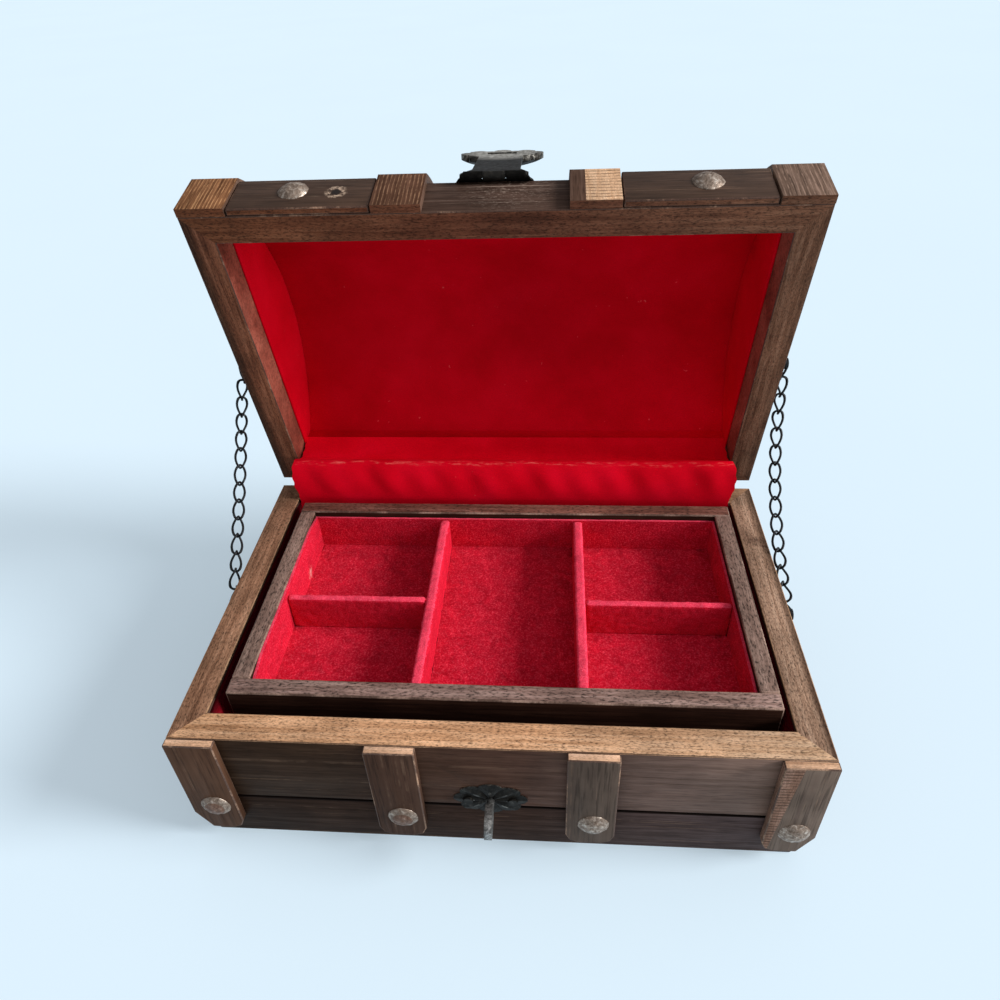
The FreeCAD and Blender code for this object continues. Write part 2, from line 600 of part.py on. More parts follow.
LATCH_X = "(-latch_place)"
FRONT = "(-%s)" % HALF_DEPTH
plate_bore = rod("plate_bore", "button_stem + pin_room", "latch_plate + 2 * overrun",
                 (LATCH_X, "%s + overrun" % FRONT, "latch_height"), "-y")
node("latch_plate",
     [cut("latch_plate_cut",
          lobed_plate("latch_rosette", LATCH_X, FRONT, "latch_height", "latch_half_width",
                      "latch_plate"), plate_bore)])
for step in (-1, 1):
    screws["body"].append(screw("latch_screw_%d" % (step + 1),
                                "%s + %d * latch_screw_place" % (LATCH_X, step),
                                "%s - latch_plate" % FRONT, "latch_height", "-y"))
stem = rod("button_stem_rod", "button_stem", "button_seat + button_neck + button_head_length / 2",
           (LATCH_X, "%s + button_seat" % FRONT, "latch_height"), "-y")
head = mid_box("button_head",
               ("button_head_thickness", "button_head_length - button_head_width / 2",
                "button_head_width"),
               (LATCH_X, "%s - button_neck - (button_head_length - button_head_width / 2) / 2" % FRONT,
                "latch_height - button_head_width / 2"))
tip = rod("button_tip", "button_head_width / 2", "button_head_thickness",
          ("%s - button_head_thickness / 2" % LATCH_X,
           "%s - button_neck - button_head_length + button_head_width / 2" % FRONT, "latch_height"), "x")
node("turn_button", [fuse("turn_button_fused", [stem, head, tip])])

leaf_plate = lobed_plate("hasp_rosette", LATCH_X, "%s + hasp_thickness / 2" % HASP_Y, "latch_height",
                         "hasp_half_width",
                         "hasp_thickness")
half_outline = (("hasp_base_half_width", HASP_Z), ("hasp_base_half_width", "%s - hasp_shoulder" % HASP_Z),
                ("hasp_waist", "%s - hasp_shoulder - hasp_taper" % HASP_Z),
                ("hasp_waist", "latch_height"))
waist_outline = [("%s - %s" % (LATCH_X, x), z) for x, z in half_outline]
waist_outline += [("%s + %s" % (LATCH_X, x), z) for x, z in reversed(half_outline)]
waist = pad("hasp_waist_plate", "XZ_Plane", waist_outline, "hasp_thickness",
            "-(%s) - hasp_thickness / 2" % HASP_Y)
slot = mid_box("hasp_slot",
               ("button_head_width + 2 * button_room", "hasp_thickness + 2 * overrun",
                "button_head_thickness + 2 * button_room"),
               (LATCH_X, HASP_Y, "latch_height - button_head_thickness / 2 - button_room"))
HASP_KNUCKLE = "(2 * hasp_base_half_width / 3)"


def hasp_knuckle(name, step, radius, room):
    length = "%s + %s" % (HASP_KNUCKLE, room)
    return rod(name, radius, length,
               ("%s + %d * %s - (%s) / 2" % (LATCH_X, step, HASP_KNUCKLE, length), HASP_Y, HASP_Z), "x")


leaf_knuckle = hasp_knuckle("hasp_leaf_knuckle", 0, "hasp_knuckle", "-knuckle_room")
leaf_windows = [hasp_knuckle("hasp_leaf_window_%d" % step, step, "hasp_knuckle + knuckle_room",
                             "knuckle_room") for step in (-1, 1)]
pin_hole = rod("hasp_pin_hole", "hasp_pin_radius + pin_room", "2 * hasp_base_half_width + 2 * overrun",
               ("%s - hasp_base_half_width - overrun" % LATCH_X, HASP_Y, HASP_Z), "x")
leaf = cut("hasp_leaf_cut", fuse("hasp_leaf_fused", [leaf_plate, waist, leaf_knuckle]), slot, pin_hole,
           *leaf_windows)
folded = doc.addObject("Part::Compound", "hasp_leaf_folded")
folded.Links = [leaf]
turned_open(folded, HASP_Y, HASP_Z, "hasp_fold")
lid_node("hasp_leaf", [folded])

base_plate = mid_box("hasp_base_plate", ("2 * hasp_base_half_width", "hasp_base_length", "latch_plate"),
                     (LATCH_X, "0", "%s + %s + glue_line" % (DOME_Z, DOME_RADIUS)))
BASE_ANGLE = ("(atan(hasp_base_length / 2 / %s) - asin((box_depth / 2 + hasp_axis_offset) / %s))"
              % (DOME_RADIUS, PIN_REACH))
base_turned = doc.addObject("Part::Compound", "hasp_base_turned")
base_turned.Links = [base_plate]
turned_open(base_turned, "0", DOME_Z, BASE_ANGLE)
base_knuckles = [hasp_knuckle("hasp_base_knuckle_%d" % (step + 1), step, "hasp_knuckle",
                              "-knuckle_room") for step in (-1, 1)]
base_window = hasp_knuckle("hasp_base_window", 0, "hasp_knuckle + knuckle_room", "knuckle_room")
base_pin_hole = rod("hasp_base_pin_hole", "hasp_pin_radius + pin_room",
                    "2 * hasp_base_half_width + 2 * overrun",
                    ("%s - hasp_base_half_width - overrun" % LATCH_X, HASP_Y, HASP_Z), "x")
lid_node("hasp_base",
         [cut("hasp_base_cut", fuse("hasp_base_fused", [base_turned] + base_knuckles), base_pin_hole,
              base_window)])
lid_node("hasp_pin",
         [rod("hasp_pin_rod", "hasp_pin_radius", "2 * hasp_base_half_width",
              ("%s - hasp_base_half_width" % LATCH_X, HASP_Y, HASP_Z), "x")])
node("body_screws", screws["body"])
lid_node("lid_screws", screws["lid"])

# Lift-out tray: four rails, a floor, dividers and its lining
TRAY_X = "tray_shift"
LONG_SIDE = "(%s / 2 - tray_rail / 2)" % TRAY_DEPTH
SHORT_SIDE = "(%s / 2 - tray_rail / 2)" % TRAY_WIDTH
for face, sign in (("front", "-"), ("back", "")):
    node("tray_%s_rail" % face,
         [mid_box("tray_%s" % face, (TRAY_WIDTH, "tray_rail", "tray_height"),
                  (TRAY_X, sign + LONG_SIDE, TRAY_BOTTOM))])
for side, sign in (("left", "-"), ("right", "+")):
    node("tray_%s_rail" % side,
         [mid_box("tray_%s" % side, ("tray_rail", "%s - 2 * tray_rail" % TRAY_DEPTH, "tray_height"),
                  ("%s %s %s" % (TRAY_X, sign, SHORT_SIDE), "0", TRAY_BOTTOM))])
TRAY_INNER_X = "(%s / 2 - tray_rail)" % TRAY_WIDTH
TRAY_INNER_Y = "(%s / 2 - tray_rail)" % TRAY_DEPTH
node("tray_floor",
     [mid_box("tray_floor_board", ("2 * %s" % TRAY_INNER_X, "2 * %s" % TRAY_INNER_Y, "tray_floor"),
              (TRAY_X, "0", TRAY_BOTTOM))])
FLOOR_TOP = "(%s + tray_floor)" % TRAY_BOTTOM
LINING_HEIGHT = "(tray_height - tray_floor - divider_drop)"
lining_outside = mid_box("tray_lining_outside",
                         ("2 * %s" % TRAY_INNER_X, "2 * %s" % TRAY_INNER_Y, LINING_HEIGHT),
                         (TRAY_X, "0", FLOOR_TOP))
lining_inside = mid_box("tray_lining_inside",
                        ("2 * (%s - felt)" % TRAY_INNER_X, "2 * (%s - felt)" % TRAY_INNER_Y,
                         "%s + 2 * overrun" % LINING_HEIGHT),
                        (TRAY_X, "0", "%s - overrun" % FLOOR_TOP))
node("tray_wall_felt", [cut("tray_wall_lining", lining_outside, lining_inside)])
for side, sign in (("left", "-"), ("right", "+")):
    node("tray_divider_%s" % side,
         [mid_box("divider_%s" % side,
                  ("divider_thickness", "2 * (%s - felt)" % TRAY_INNER_Y, LINING_HEIGHT),
                                            ("%s %s divider_place" % (TRAY_X, sign), "0", FLOOR_TOP))])
SIDE_IN = "(divider_place + divider_thickness / 2)"
SIDE_OUT = "(%s - felt)" % TRAY_INNER_X
BAY_BACK = "(%s - felt)" % TRAY_INNER_Y
felts = [mid_box("felt_middle",
                 ("2 * (divider_place - divider_thickness / 2)", "2 * %s" % BAY_BACK, "felt"),
                 (TRAY_X, "0", FLOOR_TOP))]
for side, sign in (("left", "-"), ("right", "+")):
    bay_x = "%s %s (%s + %s) / 2" % (TRAY_X, sign, SIDE_IN, SIDE_OUT)
    bay_width = "%s - %s" % (SIDE_OUT, SIDE_IN)
    node("tray_cross_%s" % side,
         [mid_box("cross_%s" % side, (bay_width, "cross_thickness", LINING_HEIGHT),
                  (bay_x, "-cross_place", FLOOR_TOP))])
    for bay, low, high in (("front", "-%s" % BAY_BACK, "-cross_place - cross_thickness / 2"),
                           ("back", "-cross_place + cross_thickness / 2", BAY_BACK)):
        felts.append(mid_box("felt_%s_%s" % (side, bay),
                             (bay_width, "(%s) - (%s)" % (high, low), "felt"),
                             (bay_x, "((%s) + (%s)) / 2" % (high, low), FLOOR_TOP)))
node("tray_floor_felt", felts)
doc.recompute()

# Hinge cloth: a flocked strip glued to both back walls, with one fold that stands up over the hinge


def rounded_path(points, radius):
    """A wire through points in the YZ plane, with its inner corners rounded by tangent arcs."""
    spots = [Vector(0, y, z) for y, z in points]
    edges = []
    start = spots[0]
    for before, corner, after in zip(spots, spots[1:], spots[2:]):
        into = (before - corner).normalize()
        out = (after - corner).normalize()
        half = into.getAngle(out) / 2
        reach = radius / math.tan(half)
        first = corner + into * reach
        last = corner + out * reach
        middle = corner + (into + out).normalize() * (radius / math.sin(half) - radius)
        edges.append(Part.LineSegment(start, first).toShape())
        edges.append(Part.Arc(first, middle, last).toShape())
        start = last
    edges.append(Part.LineSegment(start, spots[-1]).toShape())
    return Part.Wire(edges)


def hinge_cloth():
    half = dim["cloth_thickness"] / 2
    wall_y = dim["box_depth"] / 2 - dim["wall"]
    rim = dim["body_height"]
    stand = half + dim["glue_line"]
    body_y = wall_y - dim["felt"] - stand
    lid_y = wall_y - stand
    lid_rim = rim + dim["lid_gap"]
    crest = (wall_y + dim["cloth_crest_back"], rim + dim["cloth_crest_rise"])
    path = rounded_path([
        (body_y, rim - dim["cloth_tuck"]),
        (body_y, rim),
        crest,
        opened(lid_y, lid_rim),
        opened(lid_y, lid_rim + dim["cloth_tuck"]),
    ], dim["cloth_fold_radius"])
    section = path.makeOffset2D(half, 0, True,
                                True).fuse(path.makeOffset2D(-half, 0, True, True)).removeSplitter()
    length = dim["box_width"] - 2 * (dim["wall"] + dim["cloth_end_room"])
    strip = section.Faces[0].extrude(Vector(length, 0, 0))
    strip.translate(Vector(-length / 2, 0, 0))
    return strip


shape_node("hinge_cloth", hinge_cloth())

# Chains: oval links along a slack line between a pin on each end board of the body and of the lid


def link_shape():
    """One oval link of round wire, along X in the XY plane."""
    bend = (dim["chain_link_width"] - dim["chain_wire"]) / 2
    side = (dim["chain_link_inside"] + dim["chain_wire"]) / 2 - bend
    loop = Part.Wire([
        Part.LineSegment(Vector(-side, -bend, 0), Vector(side, -bend, 0)).toShape(),
        Part.Arc(Vector(side, -bend, 0), Vector(side + bend, 0, 0), Vector(side, bend, 0)).toShape(),
        Part.LineSegment(Vector(side, bend, 0), Vector(-side, bend, 0)).toShape(),
        Part.Arc(Vector(-side, bend, 0), Vector(-side - bend, 0, 0), Vector(-side, -bend, 0)).toShape(),
    ])
    section = Part.Wire(Part.Circle(Vector(0, -bend, 0), Vector(1, 0, 0),
                                    dim["chain_wire"] / 2).toShape())
    return loop.makePipeShell([section], True, False)


def chain_line(count, low, high):
    """Points where neighbouring links meet, from the low pin to the high one, on an even sag."""
    pitch = dim["chain_link_inside"] - dim["chain_play"]
    end = dim["chain_link_inside"] / 2 - dim["chain_pin_radius"] - dim["chain_play"] / 2 + pitch / 2
    lengths = [end] + [pitch] * (count - 2) + [end]
    chord = high - low
    lean = math.atan2(chord.z, chord.y)

    def points(turn):
        spots = [Vector(low)]
        for index, length in enumerate(lengths):
            angle = lean + turn * (index - (count - 1) / 2)
            spots.append(spots[-1] + Vector(0, math.cos(angle), math.sin(angle)) * length)
        return spots
    small, large = 0.0, math.pi / count
    for step in range(60):
        turn = (small + large) / 2
        if (points(turn)[-1] - low).Length > chord.Length:
            small = turn
        else:
            large = turn
    return points((small + large) / 2)


def chain(side, sign):
    """The links of one chain, in the runs that move as one, and the pins that hold it."""
    count = sum(links for run, links in RUN_LINK_COUNT[side])
    outer = dim["box_width"] / 2
    axis_y = dim["box_depth"] / 2 + dim["hinge_offset"]
    low = Vector(0, axis_y - dim["chain_pin_body_reach"], dim["body_height"] - dim["chain_pin_rim"])
    high = Vector(0,
                  *opened(axis_y - dim["chain_pin_lid_reach"],
                          dim["body_height"] + dim["lid_gap"] + dim["chain_pin_rim"]))
    line = chain_line(count, low, high)
    pitch = dim["chain_link_inside"] - dim["chain_play"]
    half_turns = 2 if count % 2 else 1
    link = link_shape()
    links = []
    for index in range(count):
        along = (line[index + 1] - line[index]).normalize()
        middle = line[index + 1] - along * (pitch / 2) if index == 0 else line[index] + along * (pitch / 2)
        stand = dim["chain_end_stand"] if index in (0, count - 1) else dim["chain_stand"]
        middle = Vector(sign * (outer + stand), middle.y, middle.z)
        across = Vector(0, -along.z, along.y)
        roll = index * (90 + 90 * half_turns / (count - 1))
        turn = Rotation(along, across, along.cross(across),
                        "XYZ").multiply(Rotation(Vector(1, 0, 0), roll))
        copy = link.copy()
        copy.Placement = Placement(middle, turn)
        links.append(copy)
    start = 0
    for run, length in RUN_LINK_COUNT[side]:
        shape_node("chain_%s_%s" % (side, run), Part.makeCompound(links[start:start + length]))
        start += length
        print("joint of", side, run, "ends at", [round(v, 4) for v in line[start]])
    print(side, "chain from", [round(v, 4) for v in low], "to", [round(v, 4) for v in high])
    print(side, "chain line", [(round(p.y, 3), round(p.z, 3)) for p in line])


def chain_pins(name, y, z):
    """The round-headed pins that hold one end of both chains, in the frame of the closed box."""
    pins = []
    reach = "nail_length + chain_end_stand + chain_wire / 2 + chain_play"
    for side, sign, axis in (("left", "-", "-x"), ("right", "", "x")):
        inner = "%s(%s - nail_length)" % (sign, HALF_WIDTH)
        under_head = "%s(%s + chain_end_stand + chain_wire / 2 + chain_play)" % (sign, HALF_WIDTH)
        shank = rod("%s_%s_shank" % (name, side), "chain_pin_radius", reach, (inner, y, z), axis)
        cap = rod("%s_%s_head" % (name, side), "chain_pin_head", "chain_wire", (under_head, y, z), axis)
        pins.append(fuse("%s_%s" % (name, side), [shank, cap]))
    return pins


node("chain_body_pins",
     chain_pins("body_pin", "%s - chain_pin_body_reach" % AXIS_Y, "body_height - chain_pin_rim"))
lid_node("chain_lid_pins",
         chain_pins("lid_pin", "%s - chain_pin_lid_reach" % AXIS_Y, "%s + chain_pin_rim" % LID_RIM))
chain("left", -1)
chain("right", 1)
doc.recompute()

# Every object is sound before anything is written
for obj in doc.Objects:
    if "Invalid" in obj.State or "Error" in obj.State:
        raise RuntimeError("%s failed: %s" % (obj.Name, obj.State))
for obj in nodes:
    if obj.Shape.isNull() or not obj.Shape.isValid() or not obj.Shape.Solids:
        raise RuntimeError("%s has no sound solid" % obj.Label)

os.makedirs("parts", exist_ok=True)
for obj in nodes:
    obj.Shape.exportStep("parts/%s.step" % obj.Label)
print(len(nodes), "sub-parts,", sum(len(obj.Shape.Solids) for obj in nodes), "solids")
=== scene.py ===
import json
import math

import bpy
from mathutils import Matrix, Vector


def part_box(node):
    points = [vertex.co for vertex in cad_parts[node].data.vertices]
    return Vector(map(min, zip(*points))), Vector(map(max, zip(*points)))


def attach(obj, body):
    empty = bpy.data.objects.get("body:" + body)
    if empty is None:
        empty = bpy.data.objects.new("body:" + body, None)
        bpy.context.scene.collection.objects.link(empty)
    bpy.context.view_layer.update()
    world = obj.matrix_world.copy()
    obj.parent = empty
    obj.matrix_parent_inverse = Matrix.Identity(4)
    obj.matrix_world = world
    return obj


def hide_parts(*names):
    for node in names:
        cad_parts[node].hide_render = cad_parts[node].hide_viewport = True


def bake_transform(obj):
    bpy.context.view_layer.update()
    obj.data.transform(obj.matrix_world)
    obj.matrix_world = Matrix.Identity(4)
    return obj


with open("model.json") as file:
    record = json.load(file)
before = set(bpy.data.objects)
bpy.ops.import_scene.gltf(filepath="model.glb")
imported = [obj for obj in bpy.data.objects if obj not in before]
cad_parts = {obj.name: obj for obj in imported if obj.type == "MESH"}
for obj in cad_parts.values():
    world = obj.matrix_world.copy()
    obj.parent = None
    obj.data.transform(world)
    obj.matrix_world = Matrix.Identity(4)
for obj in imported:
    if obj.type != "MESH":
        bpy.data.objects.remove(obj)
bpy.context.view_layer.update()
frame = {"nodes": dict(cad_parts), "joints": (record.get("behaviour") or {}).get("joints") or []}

bpy.ops.object.select_all(action="DESELECT")

MM = 0.001
HALF_WIDTH = 115.0 * MM
HALF_DEPTH = 73.0 * MM
WALL = 11.0 * MM
STRAP_FACE = 76.3 * MM
STRIP_FACE = 75.7 * MM
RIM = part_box("body_front")[1].z
LID_RIM = RIM + 0.4 * MM
JOINTS = {joint["name"]: joint for joint in frame["joints"]}
LID_AXIS = Vector(JOINTS["lid_hinge"]["pos_m"])
LID_TURN = math.radians(-77.0)
LID_OPEN = (Matrix.Translation(LID_AXIS) @ Matrix.Rotation(LID_TURN, 4, "X")
            @ Matrix.Translation(-LID_AXIS))
LID_CLOSED = LID_OPEN.inverted()

# A face lies on a rim when its middle is this near the rim's level, and faces some way when its normal has
# at least this share along it
NEAR = 0.5 * MM
FACING = 0.9


def clamped(value):
    return min(1.0, max(0.0, value))


# Finishes, by name

FINISH = {}


class Finish:
    """A material or a world, built from its nodes."""

    def __init__(self, name, kind=bpy.data.materials, shader="Principled BSDF"):
        self.name = name
        self.look = kind.new(name + "_finish")
        self.look.use_nodes = True
        self.tree = self.look.node_tree
        self.shader = self.tree.nodes[shader]

    def add(self, kind, links=None, **settings):
        node = self.tree.nodes.new("ShaderNode" + kind)
        for key, value in settings.items():
            setattr(node, key, value)
        for socket, value in (links or {}).items():
            self.put(node.inputs[socket], value)
        return node

    def put(self, socket, value):
        if isinstance(value, bpy.types.NodeSocket):
            self.tree.links.new(value, socket)
        else:
            socket.default_value = value

    def place(self, stretch=(1.0, 1.0, 1.0)):
        """Object coordinates, stretched."""
        spot = self.add("TexCoord").outputs["Object"]
        return self.add("Mapping", {"Vector": spot, "Scale": stretch}).outputs[0]

    def away(self, spot, unit, cloud=None, by=0.0):
        """The distance from a spot in units of a length, blurred by a cloudy pattern where one is given."""
        ends = {0: self.place(), 1: spot}
        reach = self.add("VectorMath", ends, operation="DISTANCE").outputs["Value"]
        if cloud is not None:
            reach = self.calc("ADD", reach, self.calc("MULTIPLY", cloud, by))
        return self.calc("DIVIDE", reach, unit)

    def noise(self, spot, scale, detail, rough=0.6, twist=0.0):
        return self.add("TexNoise", {"Vector": spot, "Scale": scale, "Detail": detail,
                                               "Roughness": rough, "Distortion": twist}).outputs["Fac"]

    def wave(self, axis, scale, twist, detail_scale):
        """Wavy parallel lines across an axis."""
        return self.add("TexWave", {"Vector": self.place(), "Scale": scale, "Distortion": twist,
                                              "Detail": 3.0, "Detail Scale": detail_scale},
                        bands_direction=axis).outputs["Fac"]

    def ramp(self, share, *stops):
        node = self.add("ValToRGB", {"Fac": share})
        while len(node.color_ramp.elements) < len(stops):
            node.color_ramp.elements.new(0.5)
        for element, (at, colour) in zip(node.color_ramp.elements, stops):
            element.position = at
            grey = isinstance(colour, (int, float))
            element.color = (colour, colour, colour, 1.0) if grey else (*colour, 1.0)
        return node.outputs["Color"]

    def mix(self, share, first, second, kind="MIX"):
        node = self.add("Mix", data_type="RGBA", blend_type=kind)
        for socket, value in ((node.inputs[0], share), (node.inputs[6], first), (node.inputs[7], second)):
            if isinstance(value, (tuple, list)):
                value = (*value, 1.0)
            self.put(socket, value)
        return node.outputs[2]

    def tint(self, colour, share, *stops):
        """A colour times a ramp."""
        return self.mix(1.0, colour, self.ramp(share, *stops), "MULTIPLY")

    def fade(self, colour, stops, axis="X", low=-HALF_WIDTH, high=HALF_WIDTH):
        """A colour times a tint that changes along an axis: painted light and shade."""
        spot = self.add("SeparateXYZ", {0: self.place()}).outputs[axis]
        share = self.add("MapRange", {"Value": spot, "From Min": low, "From Max": high}).outputs[0]
        return self.tint(colour, share, *stops)

    def calc(self, kind, first, second):
        return self.add("Math", {0: first, 1: second}, operation=kind).outputs[0]

    def bump(self, height, strength, distance):
        node = self.add("Bump", {"Height": height, "Strength": strength, "Distance": distance})
        self.put(self.shader.inputs["Normal"], node.outputs[0])

    def done(self, colour, rough, **fixed):
        self.put(self.shader.inputs["Base Color"], colour)
        self.put(self.shader.inputs["Roughness"], rough)
        for socket, value in fixed.items():
            self.shader.inputs[socket.replace("_", " ")].default_value = value
        FINISH[self.name] = self.look


# How far a pattern is drawn out along the grain
GRAIN = {"X": (0.045, 1.0, 1.0), "Y": (1.0, 0.045, 1.0), "Z": (1.0, 1.0, 0.045), "YZ": (1.0, 0.06, 0.06)}
HOLE = (0.012, 0.007, 0.005)
PAINTED_SHADE = (0.009, 0.008, 0.007)
LINT = (0.75, 0.09, 0.09)
CREST_HIGHLIGHT_RED = (0.95, 0.2, 0.17)
RUBBED_FLOCK = (0.72, 0.4, 0.36)
LINING_LOW, LINING_HIGH = 60.0 * MM, 200.0 * MM


def stained_wood(name, along, dark, middle, light, rough=0.46, patch=0.3, scratch=0.0, bare=(0.5, 0.31, 0.2),
                 grain=620.0, relief=0.2, gloss=0.03, comb=0.0, lost_nail=None, scuffed=None, fade=None):
    """Brown-stained wood: long streaks along the grain, dark pores, cloudy stain and a few pale scratches;
    where asked, painted light and shade along an axis.
    """
    f = Finish(name)
    plain = f.place()
    long = f.place(GRAIN[along])
    streak = f.noise(long, grain, 6.0, 0.62, 0.4)
    pore = f.noise(long, grain * 3.6, 3.0, 0.55)
    colour = f.ramp(streak, (0.3, dark), (0.5, middle), (0.72, light))
    colour = f.tint(colour, f.noise(plain, 38.0, 4.0), (0.3, 1.0 - patch), (0.7, 1.0 + patch))
    colour = f.tint(colour, pore, (0.34, 0.6), (0.47, 1.0))
    if fade:
        colour = f.fade(colour, fade)
    if scratch:
        hair = f.place([share * share for share in GRAIN[along]])
        thin = f.ramp(f.noise(hair, 1500.0, 2.0, 0.5), (0.61, 0.0), (0.68, 1.0))
        where = f.ramp(f.noise(plain, 90.0, 3.0), (0.45, 0.0), (0.62, scratch))
        if scuffed:
            near = f.ramp(f.away(scuffed, 22.0 * MM), (0.1, 1.0), (0.95, 0.0))
            where = f.calc("MAXIMUM", where, near)
            fine = f.ramp(f.noise(f.place((0.3, 1.0, 1.0)), 1700.0, 4.0, 0.7), (0.54, 0.0), (0.64, 0.6))
            colour = f.mix(f.calc("MULTIPLY", fine, near), colour, bare)
        colour = f.mix(f.calc("MULTIPLY", thin, where), colour, bare)
    if comb:
        lines = f.ramp(f.wave("X", comb, 2.2, 0.35), (0.72, 0.0), (0.93, 1.0))
        broken = f.ramp(f.noise(plain, 260.0, 3.0), (0.4, 0.1), (0.6, 0.75))
        colour = f.mix(f.calc("MULTIPLY", lines, broken), colour, bare)
    if lost_nail:
        away = f.away(lost_nail, 10.0 * MM, f.noise(plain, 700.0, 3.0), 2.4 * MM)
        ring = f.ramp(away, (0.3, 0.0), (0.36, 0.8), (0.48, 0.55), (0.56, 0.0))
        broken = f.ramp(f.noise(plain, 520.0, 4.0, 0.7), (0.44, 0.0), (0.56, 1.0))
        colour = f.mix(f.calc("MULTIPLY", ring, broken), colour, bare)
        colour = f.mix(f.ramp(away, (0.27, 1.0), (0.33, 0.0)), colour, HOLE)
    f.bump(f.calc("ADD", streak, f.calc("MULTIPLY", pore, 0.7)), relief, 0.4 * MM)
    f.done(colour, f.ramp(streak, (0.3, rough + 0.12), (0.7, rough - 0.06)), Specular_IOR_Level=gloss)


def raw_wood(name, along, dark, middle, light, speckle=0.55, grain=480.0, saw=0.0, pores=2300.0, fade=None):
    """Bare porous wood: streaks along the grain, fine dark speckle and, where asked, the saw's cross lines and
    painted light and shade along an axis.
    """
    f = Finish(name)
    plain = f.place()
    streak = f.noise(f.place(GRAIN[along]), grain, 7.0, 0.7, 0.6)
    grit = f.noise(f.place([0.35 if share < 1 else 1.0 for share in GRAIN[along]]), pores, 3.0, 0.7)
    colour = f.ramp(streak, (0.3, dark), (0.48, middle), (0.7, light))
    colour = f.tint(colour, f.noise(plain, 55.0, 5.0), (0.3, 0.72), (0.7, 1.22))
    colour = f.tint(colour, grit, (0.33, 1.0 - speckle), (0.5, 1.0), (0.72, 1.25))
    if fade:
        colour = f.fade(colour, fade)
    height = f.calc("ADD", f.calc("MULTIPLY", streak, 0.6), grit)
    if saw:
        depth = f.ramp(f.noise(plain, 330.0, 3.0), (0.35, 0.15), (0.6, 0.75))
        line = f.ramp(f.wave("Y" if along == "YZ" else along, 0.314 / saw, 3.0, 0.6), (0.12, 1.0), (0.42, 0.0))
        colour = f.mix(f.calc("MULTIPLY", line, depth), colour, [0.3 * share for share in dark])
        height = f.calc("SUBTRACT", height, line)
    f.bump(height, 0.5, 0.35 * MM)
    f.done(colour, 0.8, Specular_IOR_Level=0.1)


def worn_edge(name, stain, bare, low, high):
    """An edge where the stain has rubbed off in places."""
    f = Finish(name)
    plain = f.place()
    rub = f.calc("ADD", f.calc("MULTIPLY", f.noise(plain, 75.0, 3.0), 0.7),
                 f.calc("MULTIPLY", f.noise(plain, 900.0, 4.0, 0.7), 0.3))
    share = f.ramp(rub, (low, 0.0), (high, 1.0))
    colour = f.tint(f.mix(share, stain, bare), f.noise(plain, 1600.0, 3.0), (0.3, 0.6), (0.7, 1.2))
    f.bump(f.noise(plain, 1500.0, 4.0, 0.7), 0.4, 0.3 * MM)
    f.done(colour, f.ramp(share, (0.0, 0.5), (1.0, 0.8)), Specular_IOR_Level=0.15)


def flock(name, deep, middle, pale, grit=1900.0, mottle=0.35, dull=None, scuff=None):
    """Short red flock: a fuzzy fine nap with worn and brushed patches; where asked, painted shade over a band
    of heights.
    """
    f = Finish(name)
    plain = f.place()
    nap = f.noise(plain, grit, 5.0, 0.75)
    colour = f.ramp(nap, (0.28, deep), (0.52, middle), (0.8, pale))
    colour = f.tint(colour, f.noise(plain, 160.0, 5.0, 0.65, 0.8), (0.3, 1.0 - mottle), (0.7, 1.0 + mottle))
    # Painted shade, deepening toward the top of the band.
    if dull:
        colour = f.fade(colour, ((0.0, 1.0), (1.0, 0.12)), "Z", *dull)
    if scuff:
        away = f.away(scuff, 10.0 * MM, f.noise(plain, 420.0, 4.0, 0.7), 9.0 * MM)
        colour = f.mix(f.ramp(away, (0.5, 0.6), (0.75, 0.0)), colour, RUBBED_FLOCK)
    f.bump(nap, 0.75, 0.45 * MM)
    f.done(colour, 0.95, Sheen_Weight=0.12, Sheen_Roughness=0.5, Sheen_Tint=(1.0, 0.12, 0.18, 1.0),
           Specular_IOR_Level=0.0)


def lining_cloth(name, deep, middle, pale, crest_highlight=0.0, fade=None, low=None):
    """Smooth red lining cloth with a faint weave and lint; where asked, painted light, and on the hinge strip a
    painted highlight along the fold's crest.
    """
    f = Finish(name)
    plain = f.place()
    weave = f.noise(plain, 2600.0, 3.0, 0.6)
    colour = f.ramp(f.noise(plain, 45.0, 4.0, 0.55), (0.3, deep), (0.5, middle), (0.72, pale))
    colour = f.tint(colour, weave, (0.3, 0.85), (0.7, 1.12))
    colour = f.mix(f.ramp(f.noise(plain, 420.0, 2.0, 0.5), (0.74, 0.0), (0.78, 0.5)), colour, LINT)
    # Painted light and shade: along X, and brighter toward the bottom.
    if fade:
        colour = f.fade(f.fade(colour, fade), low, "Z", LINING_LOW, LINING_HIGH)
    if crest_highlight:
        # Painted light: the strip's upper part brighter.
        lit_upper = f.add("Attribute", attribute_name="lit_upper").outputs["Fac"]
        colour = f.tint(colour, lit_upper, (0.0, 1.08), (1.0, 1.4))
        # A broken painted highlight along the fold's crest.
        rub = f.add("Attribute", attribute_name="crest").outputs["Fac"]
        highlight_breaks = f.ramp(f.noise(f.place((0.25, 1.0, 1.0)), 900.0, 4.0, 0.7), (0.5, 0.0), (0.62, crest_highlight))
        colour = f.mix(f.calc("MULTIPLY", rub, highlight_breaks), colour, CREST_HIGHLIGHT_RED)
    f.bump(weave, 0.3, 0.2 * MM)
    f.done(colour, 0.72, Sheen_Weight=0.06, Sheen_Roughness=0.4, Sheen_Tint=(1.0, 0.05, 0.08, 1.0),
           Specular_IOR_Level=0.03)


